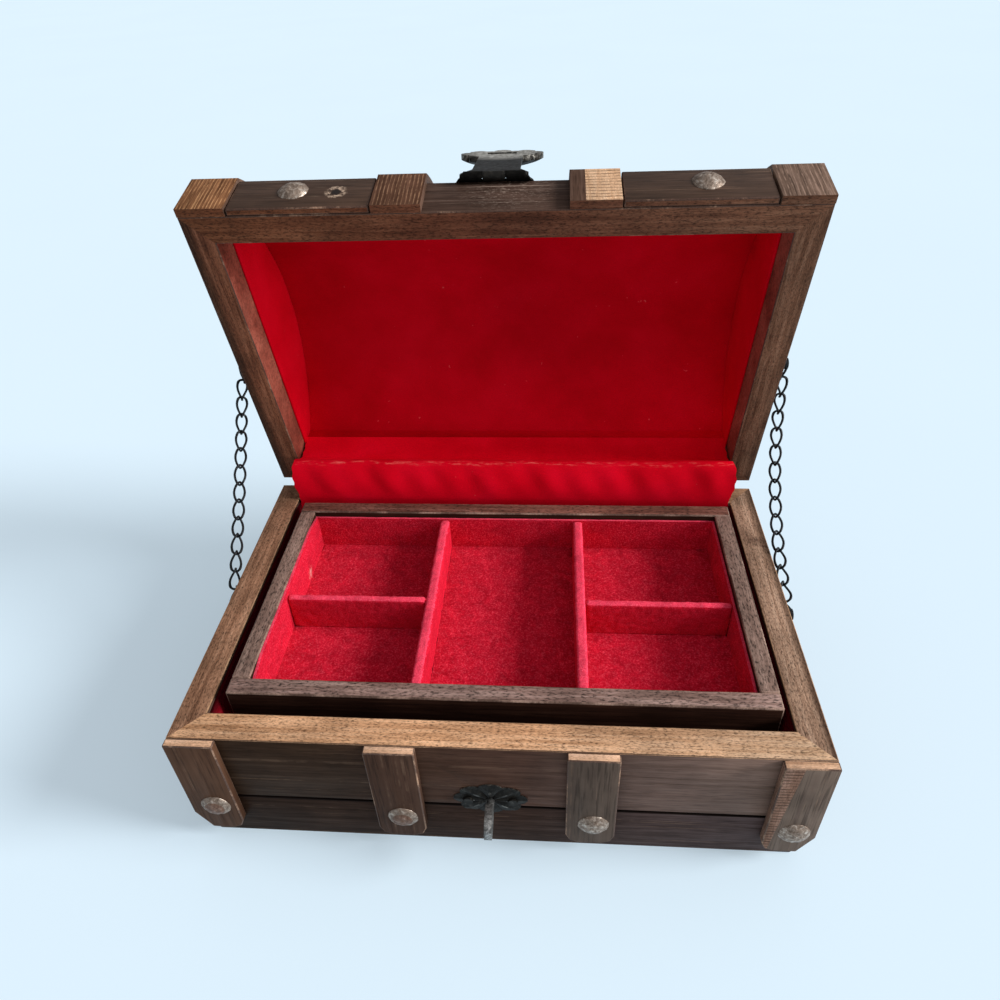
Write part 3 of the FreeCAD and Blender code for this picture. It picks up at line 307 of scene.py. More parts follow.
def old_metal(name, dark, middle, pale, rough, metal, low=0.35, high=0.68, shine=0.5, lit_spot=None):
    """Aged metal: a dark coat with paler rubbed spots and fine pits; away from a lit spot, where one is given,
    it turns to painted shade.
    """
    f = Finish(name)
    plain = f.place()
    rub = f.noise(plain, 520.0, 6.0, 0.68, 0.5)
    pit = f.noise(plain, 2400.0, 3.0, 0.6)
    colour = f.ramp(rub, (low, dark), ((low + high) / 2, middle), (high, pale))
    colour = f.tint(colour, pit, (0.3, 0.6), (0.55, 1.0))
    # Painted shade away from the lit spot.
    if lit_spot:
        colour = f.mix(f.ramp(f.away(lit_spot, 40.0 * MM, rub, 9.0 * MM), (0.4, 0.0), (0.62, 1.0)), colour, PAINTED_SHADE)
    f.bump(f.calc("ADD", rub, f.calc("MULTIPLY", pit, 0.6)), 0.35, 0.3 * MM)
    f.done(colour, f.ramp(rub, (0.3, rough + 0.15), (0.7, rough - 0.1)), Metallic=metal,
           Specular_IOR_Level=shine)


HASP_AXIS = Vector(JOINTS["hasp_swing"]["pos_m"])
HASP_DROOP = math.radians(6.0)
HASP_BACK = Vector((0.0, math.cos(HASP_DROOP), -math.sin(HASP_DROOP)))
HASP_UP = Vector((0.0, math.sin(HASP_DROOP), math.cos(HASP_DROOP)))
HASP_REACH = 51.0 * MM
HASP_LOBES = HASP_AXIS + HASP_BACK * HASP_REACH
FLOCK_SCUFF = Vector((-90.0, 24.0, 46.0)) * MM
LOST_NAIL = LID_OPEN @ Vector((-58.0 * MM, -STRIP_FACE, LID_RIM + 10.5 * MM))
HASP_SCUFF = LID_OPEN @ Vector((4.0 * MM, -HALF_DEPTH, LID_RIM + 16.0 * MM))
STRIP_BROWNS = ((0.037, 0.019, 0.011), (0.052, 0.027, 0.016), (0.071, 0.038, 0.024))
STRIP_LOOK = {"scratch": 0.2, "patch": 0.2, "gloss": 0.17, "rough": 0.42}

# front_stain: painted shade at the left and painted light with a bluish sheen growing toward the right.
stained_wood(
    "front_stain", "X", (0.056, 0.031, 0.021), (0.076, 0.042, 0.03), (0.098, 0.057, 0.041), scratch=0.12,
    relief=0.06, patch=0.2,
    fade=((0.0, (0.42, 0.4, 0.31)), (0.25, (0.55, 0.52, 0.42)), (0.55, (1.1, 0.95, 0.9)),
          (0.8, (2.0, 2.2, 2.4)), (1.0, (2.5, 2.9, 3.1))))
# shaded_lower_plank: a darker copy of the front stain, painted shade on the board below the groove, with
# painted light and a bluish sheen growing toward the right.
stained_wood(
    "shaded_lower_plank", "X", (0.027, 0.014, 0.01), (0.041, 0.022, 0.017), (0.06, 0.034, 0.027), scratch=0.2,
    relief=0.08, patch=0.2,
    fade=((0.0, (0.6, 0.52, 0.33)), (0.55, (1.0, 0.95, 0.85)), (0.8, (1.62, 1.95, 2.3)),
          (1.0, (2.0, 2.5, 3.1))))
stained_wood("groove", "X", (0.006, 0.004, 0.003), (0.01, 0.006, 0.005), (0.016, 0.01, 0.008))
stained_wood(
    "end_stain", "Y", (0.04, 0.022, 0.015), (0.065, 0.036, 0.026), (0.1, 0.058, 0.042), scratch=0.3)
stained_wood(
    "lid_stain", "X", (0.042, 0.024, 0.017), (0.066, 0.038, 0.028), (0.1, 0.06, 0.045), scratch=0.3,
    scuffed=HASP_SCUFF, bare=(0.4, 0.3, 0.24))
# strap_stain: painted light, warmer at the left, dimmer left of the middle, brighter with a bluish sheen toward
# the right.
stained_wood(
    "strap_stain", "Z", (0.066, 0.036, 0.026), (0.081, 0.046, 0.032), (0.098, 0.056, 0.04), scratch=0.15,
    patch=0.2, grain=380.0, relief=0.1,
    fade=((0.0, (1.14, 0.97, 0.78)), (0.35, (0.82, 0.7, 0.62)), (0.65, (1.26, 1.55, 1.68)),
          (1.0, (2.2, 2.75, 3.0))))
stained_wood(
    "lid_strap_stain", "YZ", (0.055, 0.029, 0.019), (0.09, 0.049, 0.033), (0.135, 0.078, 0.056),
    scratch=0.4)
stained_wood(
    "orange_strap", "YZ", (0.06, 0.024, 0.01), (0.16, 0.068, 0.03), (0.29, 0.13, 0.058), scratch=0.8,
    grain=900.0, comb=230.0, bare=(0.5, 0.26, 0.12))
stained_wood(
    "combed_strap", "YZ", (0.045, 0.02, 0.011), (0.08, 0.036, 0.021), (0.13, 0.062, 0.037), scratch=0.5,
    grain=760.0, comb=215.0, bare=(0.3, 0.165, 0.095))
stained_wood(
    "grey_strap", "YZ", (0.05, 0.031, 0.023), (0.15, 0.093, 0.066), (0.265, 0.172, 0.13), scratch=0.6,
    grain=820.0, comb=200.0, bare=(0.32, 0.21, 0.155))
stained_wood("strip_stain", "X", *STRIP_BROWNS, **STRIP_LOOK)
stained_wood("marked_strip", "X", *STRIP_BROWNS, **STRIP_LOOK, lost_nail=LOST_NAIL, bare=(0.5, 0.36, 0.26))
# front_rim: painted light, brighter overall with a bluish sheen toward the right.
raw_wood(
    "front_rim", "X", (0.24, 0.112, 0.05), (0.47, 0.252, 0.13), (0.66, 0.4, 0.235), speckle=0.75,
    pores=1800.0,
    fade=((0.0, 1.2), (0.5, 1.1), (1.0, (1.03, 1.2, 1.38))))
raw_wood("back_rim", "X", (0.16, 0.077, 0.041), (0.29, 0.157, 0.088), (0.43, 0.25, 0.15))
# side_rim: painted red reflection at the left end, painted light with a bluish sheen at the right end, and
# painted shade on its outer edge.
raw_wood(
    "side_rim", "Y", (0.11, 0.054, 0.031), (0.26, 0.142, 0.086), (0.42, 0.255, 0.165), grain=520.0,
    speckle=0.75, pores=1800.0,
    fade=((0.0, (0.94, 0.86, 0.8)), (0.984, (1.22, 1.36, 1.46)), (0.994, 0.4), (1.0, 0.25)))
raw_wood("strap_end", "X", (0.38, 0.2, 0.11), (0.6, 0.36, 0.22), (0.78, 0.52, 0.36), speckle=0.4)
raw_wood(
    "bare_wedge", "Z", (0.16, 0.082, 0.054), (0.27, 0.148, 0.1), (0.37, 0.22, 0.16), saw=1.7 * MM,
    speckle=0.3)
raw_wood(
    "bare_lid_strap", "YZ", (0.46, 0.26, 0.14), (0.62, 0.375, 0.22), (0.76, 0.52, 0.34), saw=1.9 * MM,
    speckle=0.25)
# lid_rim: painted light, redder at the left, dimmer in the middle, brighter with a bluish sheen at the right.
raw_wood(
    "lid_rim", "X", (0.06, 0.021, 0.01), (0.122, 0.046, 0.023), (0.2, 0.088, 0.047), speckle=0.7,
    pores=1800.0,
    fade=((0.0, (0.95, 0.82, 0.67)), (0.5, (0.82, 0.72, 0.73)), (1.0, (1.2, 1.36, 1.46))))
# lid_side_rim: painted shade on both outer edges, deepest at the left, with a dimmer, redder left end.
raw_wood(
    "lid_side_rim", "YZ", (0.07, 0.028, 0.014), (0.155, 0.07, 0.038), (0.26, 0.134, 0.08), speckle=0.55,
    grain=560.0,
    fade=((0.0, 0.3), (0.012, (0.42, 0.33, 0.28)), (0.02, (0.88, 0.68, 0.61)), (0.98, 1.0), (1.0, 0.55)))
raw_wood(
    "lid_inside", "YZ", (0.1, 0.024, 0.014), (0.225, 0.054, 0.034), (0.36, 0.11, 0.072), speckle=0.4,
    grain=560.0)
raw_wood(
    "tray_top", "X", (0.1, 0.058, 0.046), (0.215, 0.132, 0.108), (0.38, 0.26, 0.22), speckle=0.9,
    pores=1500.0)
raw_wood(
    "tray_back_top", "X", (0.07, 0.026, 0.017), (0.15, 0.058, 0.04), (0.26, 0.12, 0.09), speckle=0.8,
    pores=1500.0)
raw_wood(
    "tray_side_top", "Y", (0.09, 0.054, 0.04), (0.19, 0.12, 0.094), (0.33, 0.225, 0.18), speckle=0.85,
    pores=1500.0)
# tray_side: partly a real dark stain, partly painted shade: darkened further to stand in for the shade on the
# tray's sides.
stained_wood(
    "tray_side", "X", (0.014, 0.005, 0.003), (0.026, 0.01, 0.006), (0.045, 0.02, 0.013), rough=0.6,
    gloss=0.06)
worn_edge("dark_edge", (0.06, 0.034, 0.025), (0.3, 0.185, 0.125), 0.56, 0.68)
worn_edge("rim_edge", (0.22, 0.115, 0.06), (0.5, 0.3, 0.17), 0.4, 0.6)
worn_edge("strap_edge", (0.1, 0.058, 0.042), (0.42, 0.26, 0.17), 0.52, 0.64)
worn_edge("lid_edge", (0.08, 0.041, 0.028), (0.34, 0.2, 0.13), 0.54, 0.66)
worn_edge("tray_edge", (0.1, 0.058, 0.043), (0.34, 0.22, 0.17), 0.46, 0.6)
flock(
    "flock", (0.33, 0.001, 0.006), (0.58, 0.01, 0.032), (0.9, 0.09, 0.15), mottle=0.22, grit=1500.0,
    scuff=FLOCK_SCUFF)
# floor_flock: a darker copy of the tray's wall flock, darkened to stand in for the shade on the tray's floors:
# painted shade.
flock(
    "floor_flock", (0.29, 0.001, 0.006), (0.52, 0.01, 0.03), (0.86, 0.1, 0.15), mottle=0.25, grit=1400.0,
    scuff=FLOCK_SCUFF)
flock("divider_flock", (0.4, 0.001, 0.009), (0.6, 0.009, 0.03), (0.86, 0.08, 0.13), mottle=0.18)
# divider_top: a paler, pinker copy for upward faces, partly the nap's pale fuzz and partly painted sheen and
# light.
flock("divider_top", (0.58, 0.012, 0.04), (0.8, 0.05, 0.1), (0.97, 0.2, 0.26), mottle=0.25)
# well_flock: dark flock with painted shade over its top band, standing in for the shaded gap beside the tray.
flock(
    "well_flock", (0.2, 0.001, 0.004), (0.36, 0.004, 0.014), (0.52, 0.03, 0.05),
    dull=(44.0 * MM, 57.0 * MM))
# lining: painted light and shade, dimmer left of the middle, brighter toward the right and toward the bottom.
lining_cloth(
    "lining", (0.46, 0.0, 0.006), (0.52, 0.0, 0.008), (0.57, 0.001, 0.011),
    fade=((0.0, 1.0), (0.1, 0.78), (0.5, 0.86), (0.9, 1.15), (1.0, 1.15)),
    low=((0.1, 1.5), (0.4, 1.05), (0.6, 1.0)))
# hinge_cloth: painted light on the strip's upper part and a broken painted highlight along the fold's crest.
lining_cloth("hinge_cloth", (0.57, 0.0, 0.009), (0.64, 0.001, 0.012), (0.71, 0.002, 0.018), crest_highlight=0.7)
lining_cloth("frayed", (0.72, 0.42, 0.36), (0.82, 0.56, 0.5), (0.9, 0.7, 0.64))
old_metal("nail", (0.12, 0.08, 0.055), (0.29, 0.215, 0.165), (0.62, 0.54, 0.46), 0.42, 0.55)
old_metal("worn_nail", (0.1, 0.048, 0.028), (0.17, 0.088, 0.055), (0.3, 0.2, 0.15), 0.5, 0.4)
old_metal(
    "black", (0.007, 0.006, 0.0045), (0.016, 0.0135, 0.01), (0.08, 0.07, 0.056), 0.6, 0.3, high=0.74,
    shine=0.25,
    low=0.42)
old_metal(
    "soot", (0.004, 0.0035, 0.003), (0.008, 0.007, 0.006), (0.02, 0.018, 0.016), 0.8, 0.0, high=0.8,
    shine=0.05,
    low=0.45)
old_metal(
    "black_edge", (0.025, 0.023, 0.02), (0.1, 0.092, 0.078), (0.36, 0.335, 0.29), 0.45, 0.6, high=0.66,
    low=0.38)
# lit_iron: a pale copy of the black iron for the leaf's upward faces, painted light near the lobes turning to
# painted shade along the neck.
old_metal(
    "lit_iron", (0.12, 0.114, 0.1), (0.3, 0.288, 0.26), (0.58, 0.565, 0.52), 0.55, 0.2, shine=0.2,
    lit_spot=HASP_LOBES)
old_metal("steel", (0.06, 0.058, 0.055), (0.2, 0.195, 0.185), (0.5, 0.49, 0.47), 0.42, 0.8)
old_metal("brass", (0.16, 0.12, 0.06), (0.32, 0.25, 0.14), (0.46, 0.38, 0.24), 0.45, 0.9)
old_metal(
    "chain", (0.007, 0.008, 0.009), (0.013, 0.015, 0.017), (0.045, 0.05, 0.056), 0.45, 0.6, high=0.8,
    low=0.45)


# Ways of working

def take(piece):
    """Makes one piece the only one that is selected and active."""
    bpy.ops.object.select_all(action="DESELECT")
    piece.select_set(True)
    bpy.context.view_layer.objects.active = piece


def edit(piece, *jobs):
    """Runs edit-mode jobs on all of a piece."""
    take(piece)
    bpy.ops.object.mode_set(mode="EDIT")
    bpy.ops.mesh.select_all(action="SELECT")
    for job in jobs:
        job()
    bpy.ops.object.mode_set(mode="OBJECT")


def modify(piece, kind, **settings):
    """Adds a modifier and applies it."""
    take(piece)
    modifier = piece.modifiers.new(kind.lower(), kind)
    for key, value in settings.items():
        setattr(modifier, key, value)
    bpy.ops.object.modifier_apply(modifier=modifier.name)


def dress(piece, *finishes):
    piece.data.materials.clear()
    for finish in finishes:
        piece.data.materials.append(FINISH[finish])


def finish_faces(piece, index, test, closed=False):
    """Gives a material slot to the faces that pass a test of their middle and direction."""
    turn = LID_CLOSED.to_3x3()
    for face in piece.data.polygons:
        middle, normal = face.center.copy(), face.normal.copy()
        if closed:
            middle, normal = LID_CLOSED @ middle, turn @ normal
        if test(middle, normal):
            face.material_index = index


def copy_of(node, name, plain_faces=True):
    """A merged copy of a CAD piece's mesh, ready to be worked on."""
    piece = bpy.data.objects.new(name, frame["nodes"][node].data.copy())
    bpy.context.scene.collection.objects.link(piece)
    piece.data.materials.clear()
    edit(piece, lambda: bpy.ops.mesh.remove_doubles(threshold=0.002 * MM))
    if plain_faces:
        edit(piece, lambda: bpy.ops.mesh.dissolve_limited(angle_limit=math.radians(0.8)))
    return piece


def slice_evenly(piece, step):
    """Cuts a piece by planes along all three axes, so that its faces are small and even."""
    take(piece)
    low = [min(v.co[axis] for v in piece.data.vertices) for axis in range(3)]
    high = [max(v.co[axis] for v in piece.data.vertices) for axis in range(3)]
    bpy.ops.object.mode_set(mode="EDIT")
    for axis in range(3):
        normal = [0.0, 0.0, 0.0]
        normal[axis] = 1.0
        count = int((high[axis] - low[axis]) / step)
        for index in range(count):
            spot = [0.0, 0.0, 0.0]
            spot[axis] = low[axis] + (index + 0.5) * step
            bpy.ops.mesh.select_all(action="SELECT")
            bpy.ops.mesh.bisect(plane_co=spot, plane_no=normal)
    bpy.ops.object.mode_set(mode="OBJECT")


# Edges sharper than this are rounded
SHARP = math.radians(35.0)


def ease(piece, width, segments, edge=None, keep=None):
    """Rounds a piece's edges, apart from those kept sharp; the rounded faces may take a slot of their own."""
    limit = "ANGLE"
    if keep:
        limit = "WEIGHT"
        edit(piece, lambda: bpy.ops.mesh.select_all(action="DESELECT"),
             lambda: bpy.ops.mesh.select_mode(type="EDGE"),
             lambda: bpy.ops.mesh.edges_select_sharp(sharpness=SHARP))
        points = piece.data.vertices
        weights = piece.data.attributes.new("bevel_weight_edge", "FLOAT", "EDGE")
        for line in piece.data.edges:
            middle = (points[line.vertices[0]].co + points[line.vertices[1]].co) / 2
            weights.data[line.index].value = 1.0 if line.select and not keep(middle) else 0.0
    modify(piece, "BEVEL", width=width, segments=segments, limit_method=limit, angle_limit=SHARP,
           material=-1 if edge is None else edge)
    smooth(piece, 32.0)


# The rim's corners, each with the direction across its slanting joint
MITRE = [(Vector((side * HALF_WIDTH, end * HALF_DEPTH, 0.0)), Vector((-side, end, 0.0)))
         for end in (-1, 1) for side in (-1, 1)]


def mitre(board, turn=Matrix.Identity(4)):
    """Draws the slanting joint of the rim across both ends of a front or back board."""
    for corner, across in MITRE:
        normal = turn.to_3x3() @ across.normalized()
        edit(board, lambda: bpy.ops.mesh.bisect(plane_co=turn @ corner, plane_no=normal))


def beyond_mitre(at):
    """Tells whether a place lies on the end board's side of a corner's slanting joint."""
    return abs(at.x) - HALF_WIDTH > abs(at.y) - HALF_DEPTH


def at_joint(at):
    """Tells whether a place lies where a front or back board meets an end board."""
    return abs(abs(at.y) - (HALF_DEPTH - WALL)) < 0.3 * MM and abs(at.x) > HALF_WIDTH - WALL - 1.0 * MM


def stand_for(piece, body, slot, *nodes):
    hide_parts(*nodes)
    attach(piece, body)


def eased(node, name, body, slot, finish, edge, width):
    """A CAD piece in one finish, with rounded edges in another."""
    piece = copy_of(node, name)
    dress(piece, finish, edge)
    ease(piece, width, 2, 1)
    stand_for(piece, body, slot, node)


def roughen(piece, strength, size):
    """Moves a piece's points a little along their normals, by a cloudy pattern."""
    clouds = bpy.data.textures.new(piece.name + "_clouds", "CLOUDS")
    clouds.noise_scale = size
    clouds.noise_depth = 2
    modify(piece, "DISPLACE", texture=clouds, strength=strength, mid_level=0.5, texture_coords="LOCAL",
           direction="NORMAL")
    bpy.data.textures.remove(clouds)


def smooth(piece, angle=180.0):
    take(piece)
    bpy.ops.object.shade_smooth_by_angle(angle=math.radians(angle))


def copied(source, name, matrix):
    """A copy of a modelled piece with its own mesh, put in place."""
    piece = bpy.data.objects.new(name, source.data.copy())
    bpy.context.scene.collection.objects.link(piece)
    piece.data.transform(matrix)
    return piece


# Body

GROOVE = 24.1 * MM
BOARD_EASE = 0.4 * MM
STRAP_EASE = 0.45 * MM
SPLIT_TOP = Vector((103.6 * MM, 0.0, RIM))
SPLIT_FOOT = Vector((99.4 * MM, 0.0, 9.0 * MM))


def in_groove(at, normal):
    """Tells whether a face belongs to the plank line of the front board."""
    return (abs(at.z - GROOVE) < 1.2 * MM and at.y < -72.0 * MM
            and (abs(normal.z) > 0.1 or at.y > -72.95 * MM))


def body_boards():
    for node, stain, rim in (
            ("body_front", "front_stain", "front_rim"), ("body_back", "front_stain", "back_rim"),
            ("body_left_end", "end_stain", "side_rim"), ("body_right_end", "end_stain", "side_rim")):
        board = copy_of(node, node + "_board")
        if rim != "side_rim":
            mitre(board)
        dress(board, stain, rim, "dark_edge", "side_rim", "shaded_lower_plank", "groove", "rim_edge")

        def on_rim(at, normal):
            return normal.z > FACING and at.z > RIM - NEAR

        finish_faces(board, 1, on_rim)
        finish_faces(board, 3, lambda at, normal: on_rim(at, normal) and beyond_mitre(at))
        if node == "body_front":
            # Below the groove the front board takes the darker copy of its stain: painted shade.
            finish_faces(board, 4, lambda at, normal: normal.y < -FACING and at.z < GROOVE)
        ease(board, BOARD_EASE, 2, 2, keep=at_joint)
        finish_faces(board, 6, lambda at, normal: at.z > RIM - NEAR and 0.1 < normal.z < 0.97)
        finish_faces(board, 5, in_groove)
        stand_for(board, "box_body", "dark_wood", node)
    eased("body_bottom", "bottom_board", "box_body", "dark_wood", "end_stain", "dark_edge", BOARD_EASE)
    for side in ("left", "right"):
        eased("tray_rest_" + side, "tray_rest_strip_" + side, "box_body", "tray_wood", "tray_side", "tray_edge",
              BOARD_EASE)


def body_straps():
    """The straps; a wedge of the front right one is split off and bare."""
    corner = copy_of("body_corner_straps", "corner_straps")
    middle = copy_of("body_middle_straps", "middle_straps")
    along = (SPLIT_FOOT - SPLIT_TOP).normalized()
    to_left = Vector((along.z, 0.0, -along.x))
    edit(corner, lambda: bpy.ops.mesh.bisect(plane_co=SPLIT_TOP, plane_no=to_left))
    for piece, node in ((corner, "body_corner_straps"), (middle, "body_middle_straps")):
        dress(piece, "strap_stain", "strap_end", "strap_edge", "bare_wedge")
        finish_faces(piece, 1, lambda at, normal: normal.z > FACING and at.y < 0)
        if piece is corner:
            finish_faces(piece, 3, lambda at, normal: at.y < 0 and at.x > 90.0 * MM and normal.z < FACING
                         and (at - SPLIT_TOP).dot(to_left) > 0)
        ease(piece, STRAP_EASE, 3, 2)
        stand_for(piece, "box_body", "strap_wood", node)


# Nails, each at an x and a z on the face that it is driven into

NAIL_RADIUS, NAIL_RISE = 5.7 * MM, 2.4 * MM
NAIL_LIP = 0.15 * MM
NAIL_SUNK = 0.05 * MM
NAIL_ROLL = 47.0
FRONT_NAILS = ((-105.0, 22.4), (-34.0, 20.0), (36.0, 20.0), (107.0, 20.0))
BACK_NAILS = ((-106.0, 20.0), (-35.0, 20.0), (35.0, 20.0), (106.0, 20.0))
LID_NAILS = ((-74.0, LID_RIM / MM + 11.8), (74.0, LID_RIM / MM + 11.8))
WORN_NAILS = ("front_nail_1", "front_nail_2")
WORN_MIDDLE = 3.7 * MM


def nail_head():
    """One domed nail head at the origin, facing along Z, with a low lip and hammered dents."""
    ball = (NAIL_RADIUS ** 2 + NAIL_RISE ** 2) / (2 * NAIL_RISE)
    bpy.ops.mesh.primitive_uv_sphere_add(segments=48, ring_count=64, radius=ball,
                                         location=(0, 0, NAIL_RISE - ball))
    nail = bpy.context.object
    bpy.ops.object.transform_apply(location=True, rotation=True, scale=True)
    edit(nail, lambda: bpy.ops.mesh.bisect(plane_co=(0, 0, NAIL_LIP), plane_no=(0, 0, 1), clear_inner=True))
    edit(nail, lambda: bpy.ops.mesh.select_all(action="DESELECT"),
         lambda: bpy.ops.mesh.select_non_manifold(),
         lambda: bpy.ops.mesh.extrude_region_move(TRANSFORM_OT_translate={"value": (0, 0, -NAIL_LIP)}),
         lambda: bpy.ops.mesh.edge_face_add(),
         lambda: bpy.ops.mesh.select_all(action="SELECT"),
         lambda: bpy.ops.mesh.normals_make_consistent(inside=False))
    roughen(nail, 0.55 * MM, 1.6 * MM)
    for vertex in nail.data.vertices:
        vertex.co.z = max(vertex.co.z, -NAIL_SUNK)
    smooth(nail, 60.0)
    return nail


def nails():
    source = nail_head()
    spots = []
    for row, table, y, turn in (
            ("front", FRONT_NAILS, -STRAP_FACE, 90.0), ("back", BACK_NAILS, STRAP_FACE, -90.0),
            ("lid", LID_NAILS, -STRIP_FACE, 90.0)):
        for number, (x, z) in enumerate(table, 1):
            spots.append(("%s_nail_%d" % (row, number), Vector((x * MM, y, z * MM)), turn, row == "lid"))
    for index, (name, at, turn, on_lid) in enumerate(spots):
        roll = Matrix.Rotation(math.radians(NAIL_ROLL * index), 4, "Z")
        matrix = Matrix.Translation(at) @ Matrix.Rotation(math.radians(turn), 4, "X") @ roll
        if on_lid:
            matrix = LID_OPEN @ matrix
        nail = copied(source, name, matrix)
        dress(nail, "nail", "worn_nail")
        if name in WORN_NAILS:
            finish_faces(nail, 1, lambda middle, normal: (middle - at).xz.length < WORN_MIDDLE)
        if on_lid:
            stand_for(nail, "lid", "antique_nail", "lid_nails")
        else:
            stand_for(nail, "box_body", "antique_nail", "body_nails")
    bpy.data.objects.remove(source)


# Lid

LID_STRAP_EASE = 0.55 * MM
LID_STRAP_FRONT = LID_RIM + 20.5 * MM
BARE_STRAP_FROM = 31.5 * MM


def on_lid_rim(at, normal):
    """Tells whether a face of the closed lid lies on its rim."""
    return normal.z < -FACING and at.z < LID_RIM + NEAR


def lid_boards():
    for node, stain, rim in (
            ("lid_front_rail", "lid_stain", "lid_rim"), ("lid_back_rail", "lid_stain", "lid_rim"),
            ("lid_left_end", "end_stain", "lid_side_rim"), ("lid_right_end", "end_stain", "lid_side_rim")):
        board = copy_of(node, node + "_board")
        if rim == "lid_rim":
            mitre(board, LID_OPEN)
        dress(board, stain, rim, "lid_edge", "lid_inside", "lid_side_rim")
        finish_faces(board, 1, on_lid_rim, True)
        finish_faces(board, 4, lambda at, normal: on_lid_rim(at, normal) and beyond_mitre(at), True)
        if node.endswith("end"):
            finish_faces(board, 3, lambda at, normal: abs(normal.x) > FACING
                         and abs(at.x) < HALF_WIDTH - WALL + NEAR, True)
        else:
            finish_faces(board, 3, lambda at, normal: abs(normal.y) > FACING
                         and abs(at.y) < HALF_DEPTH - WALL + 1.0 * MM, True)
        ease(board, BOARD_EASE, 2, 2, keep=lambda at: at_joint(LID_CLOSED @ at))
        stand_for(board, "lid", "dark_wood", node)
    eased("lid_slats", "dome_slats", "lid", "dark_wood", "lid_stain", "lid_edge", 0.35 * MM)
    for side, finish in (("left", "marked_strip"), ("right", "strip_stain")):
        strip = copy_of("lid_%s_strip" % side, "front_strip_" + side)
        dress(strip, finish, "lid_edge", "lid_rim")
        finish_faces(strip, 2, lambda at, normal: normal.z < -FACING, True)
        ease(strip, 0.5 * MM, 3, 1)
        stand_for(strip, "lid", "strap_wood", "lid_%s_strip" % side)


def lid_straps():
    """The lid's straps, each with a front end of its own look."""
    corner = copy_of("lid_corner_straps", "lid_corner_straps_worn")
    middle = copy_of("lid_middle_straps", "lid_middle_straps_worn")
    edit(middle, lambda: bpy.ops.mesh.bisect(plane_co=(BARE_STRAP_FROM, 0, 0), plane_no=(1, 0, 0)))

    def on_front(at, normal):
        return normal.y < -0.7 and at.z < LID_STRAP_FRONT

    for piece, node, left, right, right_from in (
            (corner, "lid_corner_straps", "orange_strap", "grey_strap", 0.0),
            (middle, "lid_middle_straps", "combed_strap", "bare_lid_strap", BARE_STRAP_FROM)):
        dress(piece, "lid_strap_stain", "lid_rim", "strap_edge", left, right)
        finish_faces(piece, 1, lambda at, normal: on_lid_rim(at, normal) and at.y < 0, True)
        finish_faces(piece, 3, lambda at, normal: on_front(at, normal) and at.x < 0, True)
        finish_faces(piece, 4, lambda at, normal: on_front(at, normal) and at.x > right_from, True)
        ease(piece, LID_STRAP_EASE, 3, 2)
        stand_for(piece, "lid", "strap_wood", node)


# Linings, felts and dividers

DIVIDER_VOXEL = 0.55 * MM
LEFT_FELT_RISE = 2.3 * MM
LEFT_FELT_WIDTH = 3.0 * MM
LEFT_FELT_END = 48.5 * MM
LEFT_FELT_RUN = 12.0 * MM


def linings():
    for node, name in (("lid_barrel_felt", "barrel_lining"), ("lid_left_end_felt", "left_end_lining"),
                       ("lid_right_end_felt", "right_end_lining")):
        cloth = copy_of(node, name)
        dress(cloth, "lining")
        ease(cloth, 0.3 * MM, 2)
        modify(cloth, "SUBSURF", levels=2, render_levels=2, subdivision_type="SIMPLE")
        roughen(cloth, 0.25 * MM, 9.0 * MM)
        smooth(cloth, 40.0)
        stand_for(cloth, "lid", "red_lining", node)


def raise_left_felt(felt, top):
    """Draws the left wall's felt up over the rail's inner edge, less so toward the corners."""
    left = min(vertex.co.x for vertex in felt.data.vertices) + LEFT_FELT_WIDTH
    for vertex in felt.data.vertices:
        if vertex.co.x < left and vertex.co.z > top - 1.2 * MM:
            vertex.co.z += LEFT_FELT_RISE * clamped((LEFT_FELT_END - abs(vertex.co.y)) / LEFT_FELT_RUN)


def felts():
    for node, name, body, step, finish, top_finish in (
            ("body_floor_felt", "well_floor_flock", "box_body", 5.0 * MM, "well_flock", "well_flock"),
            ("body_wall_felt", "well_wall_flock", "box_body", 5.0 * MM, "well_flock", "well_flock"),
            ("tray_floor_felt", "tray_floor_flock", "tray", 2.6 * MM, "floor_flock", "floor_flock"),
            ("tray_wall_felt", "tray_wall_flock", "tray", 2.6 * MM, "flock", "divider_top")):
        felt = copy_of(node, name, plain_faces=False)
        slice_evenly(felt, step)
        edit(felt, lambda: bpy.ops.mesh.beautify_fill())
        roughen(felt, 0.35 * MM, 4.0 * MM)
        dress(felt, finish, top_finish)
        top = max(vertex.co.z for vertex in felt.data.vertices)
        if node == "tray_wall_felt":
            raise_left_felt(felt, top)
        # Top faces take the second finish; on the tray's wall felt that is divider_top, pale fuzz with painted
        # sheen and light.
        finish_faces(felt, 1, lambda at, normal: normal.z > 0.5 and at.z > top - 1.0 * MM)
        smooth(felt, 40.0)
        stand_for(felt, body, "red_flock", node)


def dividers():
    for node in ("tray_divider_left", "tray_divider_right", "tray_cross_left", "tray_cross_right"):
        wall = copy_of(node, node.replace("tray_", "flocked_"))
        ease(wall, 1.2 * MM, 3)
        modify(wall, "REMESH", mode="VOXEL", voxel_size=DIVIDER_VOXEL)
        modify(wall, "SMOOTH", factor=0.5, iterations=2)
        roughen(wall, 0.5 * MM, 3.5 * MM)
        roughen(wall, 0.35 * MM, 0.9 * MM)
        dress(wall, "divider_flock", "divider_top")
        # Upward faces take divider_top: pale fuzz with painted sheen and light.
        finish_faces(wall, 1, lambda at, normal: normal.z > 0.55)
        smooth(wall)
        stand_for(wall, "tray", "red_flock", node)


# Tray

